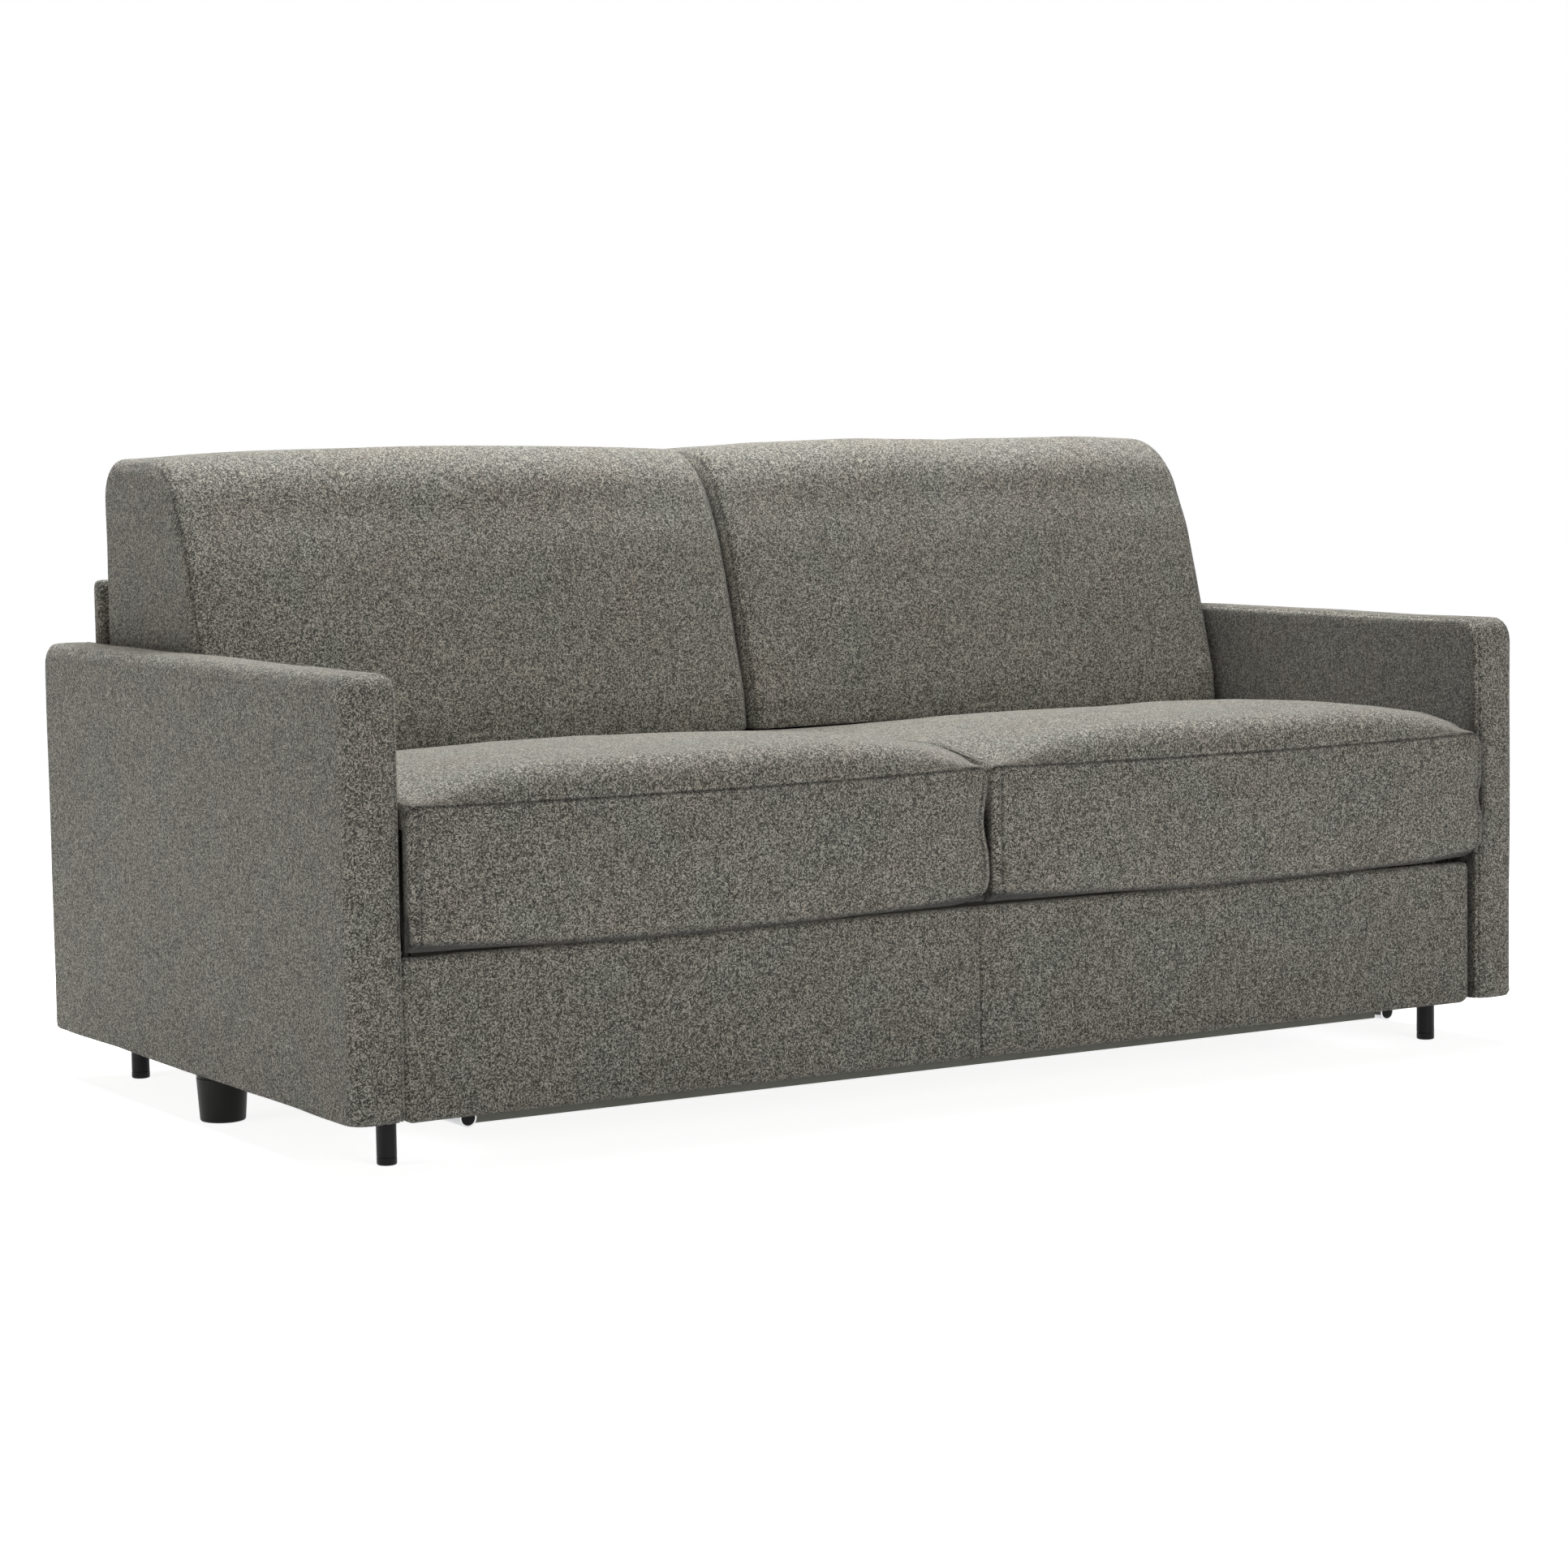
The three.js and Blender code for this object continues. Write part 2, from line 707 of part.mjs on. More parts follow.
// Lies across, under the back cushion, and swings out square to the foot deck.
function footLeg() {
  const end = footLegX - footLegLength;
  const tube = rod(footLegRadius, "x", end, footLegX + footLegTail, [footLegY, footLegZ]);
  const z0 = footLegZ - footLegRadius - overrun;
  const z1 = footLegZ + footLegRadius + overrun;
  return cut(tube, rod(legPinRadius + touch, "z", z0, z1, [footLegX, footLegY]));
}

function footLegBracket() {
  const [x0, x1] = [footLegX - footBracketHalf, footLegX + footBracketHalf];
  const rear = backDeckFront - touch;
  const front = footLegY - footBracketHalf;
  const reach = footLegRadius + footLegGap;
  const [z0, z1] = [footLegZ - reach, footLegZ + reach];
  return join(
    block(x0, x1, front, rear, z0 - footBracketPlate, z0),
    block(x0, x1, front, rear, z1, z1 + footBracketPlate),
    block(x0, x1, rear - footBracketPlate, rear, z0 - footBracketPlate, z1 + footBracketPlate),
    rod(legPinRadius, "z", z0 - touch, z1 + touch, [footLegX, footLegY]),
  );
}

function single(name, geometry, material) {
  const mesh = new THREE.Mesh(geometry, material.clone());
  mesh.name = name;
  return mesh;
}

// The same piece on both sides; the left one is the mirror image of the right one.
function pair(name, geometry, material) {
  const right = single("right_" + name, geometry, material);
  const left = single("left_" + name, geometry, material);
  left.scale.x = -1;
  return [left, right];
}

function section(...meshes) {
  const group = new THREE.Group();
  group.add(...meshes.flat());
  return group;
}

const legX = armInner - legEdge - legRadius;
const legTop = railBottom - touch;

const base = section(
  pair("arm", arm(), sofaFabric),
  single("front_panel", panel(frontPanelFace, frontPanelBottom, frontPanelTop), sofaFabric),
  single("rear_panel", panel(rearPanelFront, rearPanelBottom, rearPanelTop), sofaFabric),
  pair("side_rail", sideRail(), bedSteel),
  single("front_cross_rail", crossRail(frontPanelRear + touch, railBottom - frontRailDrop), bedSteel),
  single("rear_cross_rail", crossRail(rearPanelFront - rearRailSetback - crossRailDepth, railBottom), bedSteel),
  pair("front_leg", rod(legRadius, "z", 0, legTop, [legX, frontLegY]), blackTube),
  pair("rear_leg", rod(legRadius, "z", 0, legTop, [legX, rearLegY]), blackTube),
  pair(
    "arm_foot",
    rod(
      armFootFloorRadius,
      "z",
      0,
      armBottom - touch,
      [overallWidth / 2 - armFootInset, armFootY],
      armFootTopRadius,
    ),
    footPlastic,
  ),
);

const frontLift = section(
  pair("front_lift_arm", liftArm(frontLiftY, deckHalf - lugThickness, pivotRadius), bedSteel),
  single("front_torque_tube", torqueTube(frontLiftY), bedSteel),
);

const rearLift = section(
  pair("rear_lift_arm", liftArm(rearLiftY, deckHalf + openPivotGap, liftHalfWidth), bedSteel),
  single("rear_torque_tube", torqueTube(rearLiftY), bedSteel),
);

const headSection = section(
  single("head_deck", headDeck(), bedSteel),
  single(
    "head_mattress",
    flatMattress(headDeckFront, headDeckRear, headDeckFace + touch, headMattressTop),
    mattressFabric,
  ),
  pair("front_lift_lug", liftLug(frontLiftY, true), bedSteel),
  pair("rear_lift_lug", liftLug(rearLiftY, false), bedSteel),
  pair("hinge_bracket", hingeBracket(), bedSteel),
  pair("mid_leg_bracket", midLegBracket(), bedSteel),
);

const midLegs = section(
  pair("mid_leg", midLeg(), brightTube),
  pair("mid_leg_plug", midLegPlug(), blackPlug),
  single("mid_leg_bar", midLegBar(), bedSteel),
);

const seatSection = section(
  single("seat_deck", seatDeck(), bedSteel),
  single(
    "seat_mattress",
    flatMattress(seatMattressFront, seatMattressRear, seatMattressLow, seatDeckFace - touch),
    mattressFabric,
  ),
  pair("turn_plate", turnPlate(), bedSteel),
  pair("turn_pin", turnPin(), brightTube),
  pair("seat_cushion", seatCushion(), sofaFabric),
);

const backSection = section(
  single("back_deck", backDeck(), bedSteel),
  single("foot_mattress", footMattress(), mattressFabric),
  pair("foot_leg_bracket", footLegBracket(), bedSteel),
  pair("back_cushion", backCushion(), sofaFabric),
);

const footLegs = section(pair("foot_leg", footLeg(), brightTube));

const sofa = new THREE.Group();
seatSection.add(backSection);
backSection.add(footLegs);
headSection.add(midLegs, seatSection);
frontLift.add(headSection);
base.add(frontLift, rearLift);
base.position.y = -modelMiddleY;
sofa.add(base);

export default sofa;
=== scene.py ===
import math

import bmesh
import bpy
import numpy as np
from mathutils import Matrix, Vector


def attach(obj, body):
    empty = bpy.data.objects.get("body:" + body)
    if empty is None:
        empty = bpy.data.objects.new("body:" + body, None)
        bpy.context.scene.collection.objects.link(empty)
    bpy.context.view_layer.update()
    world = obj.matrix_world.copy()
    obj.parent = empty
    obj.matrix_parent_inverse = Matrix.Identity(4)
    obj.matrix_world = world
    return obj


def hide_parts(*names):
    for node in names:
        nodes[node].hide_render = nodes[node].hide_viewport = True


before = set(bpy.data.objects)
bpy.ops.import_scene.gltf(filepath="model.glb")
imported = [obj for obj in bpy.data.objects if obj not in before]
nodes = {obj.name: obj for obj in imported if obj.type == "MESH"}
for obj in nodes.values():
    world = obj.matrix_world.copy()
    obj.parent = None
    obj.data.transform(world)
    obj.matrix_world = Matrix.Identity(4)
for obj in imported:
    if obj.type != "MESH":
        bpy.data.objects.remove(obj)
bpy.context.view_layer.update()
print("frame loaded:", len(nodes), "nodes")

mm = 0.001


# Camera, floor and light

camera = {  # metres, radians and millimetres of lens and sensor
    "place": (-2.8305, -4.6832, 0.8864),
    "yaw": 0.5419,
    "pitch": 0.0908,
    "roll": -0.0157,
    "lens": 90.17,
    "sensor": 36.0,
    "farthest": 100,
}


def makeCamera():
    yaw, pitch, roll = camera["yaw"], camera["pitch"], camera["roll"]
    forward = Vector((math.sin(yaw) * math.cos(pitch), math.cos(yaw) * math.cos(pitch), -math.sin(pitch)))
    right = Vector((math.cos(yaw), -math.sin(yaw), 0))
    up = right.cross(forward)
    across = math.cos(roll) * right + math.sin(roll) * up
    upright = math.cos(roll) * up - math.sin(roll) * right
    data = bpy.data.cameras.new("photoCamera")
    data.lens = camera["lens"]
    data.sensor_width = camera["sensor"]
    data.clip_end = camera["farthest"]
    made = bpy.data.objects.new("photoCamera", data)
    bpy.context.scene.collection.objects.link(made)
    turn = Matrix((across, upright, -forward)).transposed().to_4x4()
    made.matrix_world = Matrix.Translation(camera["place"]) @ turn
    bpy.context.scene.camera = made


light = {
    "world": 0.055,
    "worldSeen": 1.0,
    "aim": (0, 0, 0.4),  # the point that the lamps face
    "key": {"place": (-2.7, 0.0, 0.42), "size": 0.7, "watts": 6.3},  # low at the left
    "fill": {"place": (0.3, -6.0, 1.6), "size": 2.6, "watts": 71},  # far in front
    "top": {"place": (0.2, 1.0, 3.1), "size": 2.8, "watts": 138},  # above the rear
    "floorColour": (0.86, 0.86, 0.86, 1),
    "floorGlow": (0.88, 0.97),  # near the sofa and far from it
    "glowReach": (1.6, 6.0),  # how far away near and far are
    "floorSize": 30,
}


def wire(tree, source, target):
    tree.links.new(source, target)


def seenDirectly(tree):
    # 1 for rays from the camera and for mirror and glass rays, else 0
    path = tree.nodes.new("ShaderNodeLightPath")
    first = tree.nodes.new("ShaderNodeMath")
    first.operation = "MAXIMUM"
    wire(tree, path.outputs["Is Camera Ray"], first.inputs[0])
    wire(tree, path.outputs["Is Glossy Ray"], first.inputs[1])
    second = tree.nodes.new("ShaderNodeMath")
    second.operation = "MAXIMUM"
    wire(tree, first.outputs[0], second.inputs[0])
    wire(tree, path.outputs["Is Transmission Ray"], second.inputs[1])
    return second.outputs[0]


def makeWorld():
    world = bpy.data.worlds.new("studio")
    world.use_nodes = True
    tree = world.node_tree
    tree.nodes.clear()
    out = tree.nodes.new("ShaderNodeOutputWorld")
    soft = tree.nodes.new("ShaderNodeBackground")
    soft.inputs["Strength"].default_value = light["world"]
    seen = tree.nodes.new("ShaderNodeBackground")
    seen.inputs["Strength"].default_value = light["worldSeen"]
    mix = tree.nodes.new("ShaderNodeMixShader")
    for background in (soft, seen):
        background.inputs["Color"].default_value = (1, 1, 1, 1)
    wire(tree, seenDirectly(tree), mix.inputs[0])
    wire(tree, soft.outputs[0], mix.inputs[1])
    wire(tree, seen.outputs[0], mix.inputs[2])
    wire(tree, mix.outputs[0], out.inputs["Surface"])
    bpy.context.scene.world = world


def makeLamp(name, spec):
    data = bpy.data.lights.new(name, "AREA")
    data.shape = "SQUARE"
    data.size = spec["size"]
    data.energy = spec["watts"]
    lamp = bpy.data.objects.new(name, data)
    lamp.visible_camera = False
    bpy.context.scene.collection.objects.link(lamp)
    place = Vector(spec["place"])
    lamp.location = place
    lamp.rotation_euler = (Vector(light["aim"]) - place).to_track_quat("-Z", "Y").to_euler()


def makeFloor():
    # The floor glows for the camera alone, so that it is white far away and keeps the shadow near the sofa.
    half = light["floorSize"] / 2
    mesh = bpy.data.meshes.new("floor")
    corners = [(-half, -half, 0), (half, -half, 0), (half, half, 0), (-half, half, 0)]
    mesh.from_pydata(corners, [], [(0, 1, 2, 3)])
    floor = bpy.data.objects.new("floor", mesh)
    bpy.context.scene.collection.objects.link(floor)
    material = bpy.data.materials.new("paleFloor")
    material.use_nodes = True
    tree = material.node_tree
    tree.nodes.clear()
    out = tree.nodes.new("ShaderNodeOutputMaterial")
    diffuse = tree.nodes.new("ShaderNodeBsdfDiffuse")
    diffuse.inputs["Color"].default_value = light["floorColour"]
    glow = tree.nodes.new("ShaderNodeEmission")
    place = tree.nodes.new("ShaderNodeTexCoord")
    away = tree.nodes.new("ShaderNodeVectorMath")
    away.operation = "LENGTH"
    wire(tree, place.outputs["Object"], away.inputs[0])
    spread = tree.nodes.new("ShaderNodeMapRange")
    ends = (*light["glowReach"], *light["floorGlow"])
    for name, value in zip(("From Min", "From Max", "To Min", "To Max"), ends):
        spread.inputs[name].default_value = value
    wire(tree, away.outputs["Value"], spread.inputs["Value"])
    level = tree.nodes.new("ShaderNodeMath")
    level.operation = "MULTIPLY"
    wire(tree, spread.outputs["Result"], level.inputs[1])
    wire(tree, seenDirectly(tree), level.inputs[0])
    wire(tree, level.outputs[0], glow.inputs["Strength"])
    both = tree.nodes.new("ShaderNodeAddShader")
    wire(tree, diffuse.outputs[0], both.inputs[0])
    wire(tree, glow.outputs[0], both.inputs[1])
    wire(tree, both.outputs[0], out.inputs["Surface"])
    mesh.materials.append(material)


bpy.context.scene.view_settings.view_transform = "Standard"
makeCamera()
makeWorld()
for lampName in ("key", "fill", "top"):
    makeLamp(lampName + "Lamp", light[lampName])
makeFloor()
print("camera, light and floor made")


# Materials

def startMaterial(name):
    material = bpy.data.materials.new(name)
    material.use_nodes = True
    tree = material.node_tree
    shader = tree.nodes["Principled BSDF"]
    return material, tree, shader


def calc(tree, operation, first, second=None):
    node = tree.nodes.new("ShaderNodeMath")
    node.operation = operation
    for slot, value in enumerate((first, second)):
        if value is None:
            continue
        if isinstance(value, (int, float)):
            node.inputs[slot].default_value = value
        else:
            wire(tree, value, node.inputs[slot])
    return node.outputs[0]


def noise(tree, vector, scale, detail=2.0, roughness=0.5):
    node = tree.nodes.new("ShaderNodeTexNoise")
    node.inputs["Scale"].default_value = scale
    node.inputs["Detail"].default_value = detail
    node.inputs["Roughness"].default_value = roughness
    wire(tree, vector, node.inputs["Vector"])
    return node.outputs["Fac"]


def combine(tree, x, y):
    node = tree.nodes.new("ShaderNodeCombineXYZ")
    wire(tree, x, node.inputs["X"])
    wire(tree, y, node.inputs["Y"])
    return node.outputs[0]


def ramp(tree, value, stops):
    node = tree.nodes.new("ShaderNodeValToRGB")
    elements = node.color_ramp.elements
    while len(elements) < len(stops):
        elements.new(0.5)
    for element, (place, colour) in zip(elements, stops):
        element.position = place
        element.color = (*colour, 1)
    wire(tree, value, node.inputs["Fac"])
    return node.outputs["Color"]


def times(tree, first, second):
    return calc(tree, "MULTIPLY", first, second)


def blend(tree, share, first, second):
    # a number between two numbers
    node = tree.nodes.new("ShaderNodeMix")
    for slot, value in ((0, share), (2, first), (3, second)):
        wire(tree, value, node.inputs[slot])
    return node.outputs[0]


def mixColours(tree, share, first, second, kind="MIX"):
    # a colour mixed from two colours
    node = tree.nodes.new("ShaderNodeMix")
    node.data_type = "RGBA"
    node.blend_type = kind
    for slot, value in ((0, share), (6, first), (7, second)):
        if isinstance(value, (int, float)):
            node.inputs[slot].default_value = value
        else:
            wire(tree, value, node.inputs[slot])
    return node.outputs[2]


def bump(tree, shader, height, distance, strength):
    node = tree.nodes.new("ShaderNodeBump")
    node.inputs["Distance"].default_value = distance
    node.inputs["Strength"].default_value = strength
    wire(tree, height, node.inputs["Height"])
    wire(tree, node.outputs[0], shader.inputs["Normal"])


upholstery = {
    "threadPitch": 1.55 * mm,
    "sway": 3.0,  # how far the threads wander, in threads
    "swayScale": 0.035,
    "archPower": 0.35,  # the lower, the flatter a thread's back
    "tones": [
        (0.12, (0.047, 0.047, 0.040)), (0.36, (0.145, 0.140, 0.119)),
        (0.56, (0.325, 0.314, 0.272)), (0.92, (0.83, 0.805, 0.72)),
    ],
    "cellShare": 0.72, "yarnShare": 0.5, "clumpShare": 0.22, "slubShare": 0.26,
    "toneDrop": 0.335,  # brings the sum of those four back to the middle of the tones
    "yarnStretch": 0.3, "columnSpacing": 7.31, "rowSpacing": 5.77,
    "slubWidth": 0.55, "slubStretch": 0.035, "clumpScale": 0.2,
    "tints": [(0.36, (0.48, 0.53, 0.49)), (0.64, (0.62, 0.52, 0.45))],
    "tintScale": 0.013, "tintShare": 0.35,
    "gapLight": 0.62, "threadLight": 0.55,  # painted shade of the weave: brightness between threads, and the painted light a thread's back adds
    "roughness": 0.92, "specular": 0.2, "sheen": 0.25, "sheenRoughness": 0.6,
    "bumpDistance": 0.6 * mm, "bumpStrength": 0.7,
}


def clothMaterial():
    # A plain weave: threads run along both directions of the cloth's own map and cross over and under in
    # turn. Each crossing has a tone of its own, and so has each length of yarn, as in a heathered cloth.
    spec = upholstery
    material, tree, shader = startMaterial("sofaFabric")
    place = tree.nodes.new("ShaderNodeUVMap")
    place.uv_map = "cloth"
    scaled = tree.nodes.new("ShaderNodeVectorMath")
    scaled.operation = "SCALE"
    scaled.inputs["Scale"].default_value = 1 / spec["threadPitch"]
    wire(tree, place.outputs[0], scaled.inputs[0])
    wander = tree.nodes.new("ShaderNodeTexNoise")
    wander.inputs["Scale"].default_value = spec["swayScale"]
    wander.inputs["Detail"].default_value = 1.0
    wire(tree, scaled.outputs[0], wander.inputs["Vector"])
    swayed = tree.nodes.new("ShaderNodeVectorMath")
    swayed.operation = "MULTIPLY_ADD"
    swayed.inputs[1].default_value = (spec["sway"],) * 3
    wire(tree, wander.outputs["Color"], swayed.inputs[0])
    wire(tree, scaled.outputs[0], swayed.inputs[2])
    split = tree.nodes.new("ShaderNodeSeparateXYZ")
    wire(tree, swayed.outputs[0], split.inputs[0])
    across, along = split.outputs["X"], split.outputs["Y"]
    column, row = calc(tree, "FLOOR", across), calc(tree, "FLOOR", along)
    inColumn, inRow = calc(tree, "FRACT", across), calc(tree, "FRACT", along)
    parity = calc(tree, "MODULO", calc(tree, "ABSOLUTE", calc(tree, "ADD", column, row)), 2)
    archAcross = calc(tree, "SINE", times(tree, inColumn, math.pi))
    archAlong = calc(tree, "SINE", times(tree, inRow, math.pi))
    upright = times(tree, archAcross, calc(tree, "POWER", archAlong, spec["archPower"]))
    level = times(tree, archAlong, calc(tree, "POWER", archAcross, spec["archPower"]))
    height = blend(tree, parity, upright, level)
    cell = tree.nodes.new("ShaderNodeTexWhiteNoise")
    cell.noise_dimensions = "2D"
    wire(tree, combine(tree, column, row), cell.inputs["Vector"])
    # yarn tones: one noise stretched along the columns, one along the rows
    columnPlace = combine(
        tree, times(tree, column, spec["columnSpacing"]), times(tree, along, spec["yarnStretch"]))
    rowPlace = combine(tree, times(tree, across, spec["yarnStretch"]), times(tree, row, spec["rowSpacing"]))
    slubPlace = combine(
        tree, times(tree, across, spec["slubWidth"]), times(tree, along, spec["slubStretch"]))
    yarn = blend(tree, parity, noise(tree, columnPlace, 1.0, 1.0), noise(tree, rowPlace, 1.0, 1.0))
    slub = noise(tree, slubPlace, 1.0, 1.0)
    clumps = noise(tree, swayed.outputs[0], spec["clumpScale"], 2.0, 0.6)
    tone = times(tree, cell.outputs["Value"], spec["cellShare"])
    for part, share in ((yarn, "yarnShare"), (clumps, "clumpShare"), (slub, "slubShare")):
        tone = calc(tree, "ADD", tone, times(tree, part, spec[share]))
    tone = calc(tree, "SUBTRACT", tone, spec["toneDrop"])
    colour = ramp(tree, tone, spec["tones"])
    tint = ramp(tree, noise(tree, scaled.outputs[0], spec["tintScale"], 3.0, 0.65), spec["tints"])
    colour = mixColours(tree, spec["tintShare"], colour, mixColours(tree, 1.0, colour, tint, "OVERLAY"))
    # the shade attribute is painted shade: it darkens the seams, the seat cushions' undersides and right
    # ends, the strips behind the gaps, and the right arm's inner side and front beside the seat
    paintedShade = tree.nodes.new("ShaderNodeAttribute")
    paintedShade.attribute_name = "shade"
    # painted shade of the weave: the colour is darker in the gaps between threads and lighter on their backs
    shade = calc(tree, "ADD", times(tree, height, spec["threadLight"]), spec["gapLight"])
    shade = times(tree, shade, calc(tree, "SUBTRACT", 1.0, paintedShade.outputs["Fac"]))
    grey = combine(tree, shade, shade)
    wire(tree, shade, grey.node.inputs["Z"])
    colour = mixColours(tree, 1.0, colour, grey, "MULTIPLY")
    wire(tree, colour, shader.inputs["Base Color"])
    shader.inputs["Roughness"].default_value = spec["roughness"]
    shader.inputs["Sheen Weight"].default_value = spec["sheen"]
    shader.inputs["Sheen Roughness"].default_value = spec["sheenRoughness"]
    shader.inputs["Specular IOR Level"].default_value = spec["specular"]
    bump(tree, shader, height, spec["bumpDistance"], spec["bumpStrength"])
    return material


mattressCloth = {
    "stitchScale": 420, "mottleScale": 14,
    "tones": [(0.3, (0.66, 0.64, 0.585)), (0.7, (0.78, 0.76, 0.71))],
    "roughness": 0.9, "sheen": 0.15,
    "bumpDistance": 0.5 * mm, "bumpStrength": 0.5,
}


def tickingMaterial():
    # a knitted off-white ticking: small stitches with a faint mottle
    spec = mattressCloth
    material, tree, shader = startMaterial("mattressTicking")
    place = tree.nodes.new("ShaderNodeTexCoord")
    stitch = tree.nodes.new("ShaderNodeTexVoronoi")
    stitch.inputs["Scale"].default_value = spec["stitchScale"]
    wire(tree, place.outputs["Object"], stitch.inputs["Vector"])
    mottle = noise(tree, place.outputs["Object"], spec["mottleScale"], 4.0, 0.6)
    wire(tree, ramp(tree, mottle, spec["tones"]), shader.inputs["Base Color"])
    shader.inputs["Roughness"].default_value = spec["roughness"]
    shader.inputs["Sheen Weight"].default_value = spec["sheen"]
    bump(tree, shader, stitch.outputs["Distance"], spec["bumpDistance"], spec["bumpStrength"])
    return material


coats = {
    "bedSteel": {"low": (0.190, 0.192, 0.160), "high": (0.260, 0.260, 0.222), "roughness": 0.5, "grain": 900},
    "blackTube": {
        "low": (0.008, 0.008, 0.009), "high": (0.015, 0.015, 0.016), "roughness": 0.4, "grain": 700,
        "specular": 0.18,
    },
    "brightTube": {
        "low": (0.50, 0.51, 0.52), "high": (0.64, 0.64, 0.65), "roughness": 0.2, "grain": 500,
        "metallic": 1.0,
    },
    "plugPlastic": {
        "low": (0.006, 0.006, 0.006), "high": (0.011, 0.011, 0.011), "roughness": 0.5, "grain": 1200,
        "specular": 0.15,
    },
    "footPlastic": {
        "low": (0.009, 0.009, 0.008), "high": (0.017, 0.016, 0.015), "roughness": 0.45, "grain": 1000,
        "specular": 0.18,
    },
    "seamThread": {"low": (0.22, 0.215, 0.20), "high": (0.36, 0.355, 0.33), "roughness": 0.8, "grain": 2000},
}
coatSkin = {
    "metallic": 0.0, "specular": 0.5,
    "toneScale": 9, "toneStops": (0.3, 0.7),
    "roughnessRange": 0.16,
    "bumpDistance": 0.05 * mm, "bumpStrength": 0.35,
}


def coatMaterial(name):
    # a coated, moulded or plated surface: a fine skin of grain and a wide, faint change of tone
    spec = {**coatSkin, **coats[name]}
    material, tree, shader = startMaterial(name)
    place = tree.nodes.new("ShaderNodeTexCoord")
    wide = noise(tree, place.outputs["Object"], spec["toneScale"], 3.0, 0.6)
    tones = list(zip(spec["toneStops"], (spec["low"], spec["high"])))
    wire(tree, ramp(tree, wide, tones), shader.inputs["Base Color"])
    fine = noise(tree, place.outputs["Object"], spec["grain"], 2.0, 0.5)
    least = spec["roughness"] - spec["roughnessRange"] / 2
    spread = calc(tree, "ADD", times(tree, fine, spec["roughnessRange"]), least)
    wire(tree, spread, shader.inputs["Roughness"])
    shader.inputs["Metallic"].default_value = spec["metallic"]
    shader.inputs["Specular IOR Level"].default_value = spec["specular"]
    bump(tree, shader, fine, spec["bumpDistance"], spec["bumpStrength"])
    return material


fabric = clothMaterial()
ticking = tickingMaterial()
steel = coatMaterial("bedSteel")
blackTube = coatMaterial("blackTube")
brightTube = coatMaterial("brightTube")
plugPlastic = coatMaterial("plugPlastic")
footPlastic = coatMaterial("footPlastic")
thread = coatMaterial("seamThread")
print("materials made")


# Mesh tools

sampling = {
    "findPoints": 500, "arcPoints": 17, "extraPoints": 13, "endStations": 9, "extraStations": 9,
    "leastGap": 2e-4, "decimals": 5, "normalStep": 1.5e-3,
    "straight": 1e-3,  # a corner turning less than this, in radians, is no corner
    "sharpAngle": math.radians(35),
    "join": 0.03 * mm,
}


def addPiece(name, material, body, points, faces, corners=None, shade=None):
    # faces are rows of point numbers, with -1 in the last place of a triangle; corners are their map places
    mesh = bpy.data.meshes.new(name)
    counts = np.where(faces[:, 3] < 0, 3, 4)
    starts = np.concatenate(([0], np.cumsum(counts)[:-1]))
    used = faces >= 0
    mesh.vertices.add(len(points))
    mesh.vertices.foreach_set("co", points.astype(np.float32).ravel())
    mesh.loops.add(int(counts.sum()))
    mesh.loops.foreach_set("vertex_index", faces[used].astype(np.int32))
    mesh.polygons.add(len(faces))
    mesh.polygons.foreach_set("loop_start", starts.astype(np.int32))
    mesh.update(calc_edges=True)
    if corners is not None:
        layer = mesh.uv_layers.new(name="cloth")
        layer.data.foreach_set("uv", corners[used].astype(np.float32).ravel())
    # the painted shade, kept as a point attribute named shade
    if shade is not None:
        layer = mesh.attributes.new("shade", "FLOAT", "POINT")
        layer.data.foreach_set("value", shade.astype(np.float32))
    mesh.polygons.foreach_set("use_smooth", np.ones(len(faces), bool))
    mesh.validate()
    mesh.materials.append(material)
    piece = bpy.data.objects.new(name, mesh)
    bpy.context.scene.collection.objects.link(piece)
    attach(piece, body)
    return piece


def thinned(places):
    # places in order, without those that nearly meet the next
    places = np.unique(np.round(places, sampling["decimals"]))
    return places[np.append(np.diff(places) > sampling["leastGap"], True)]


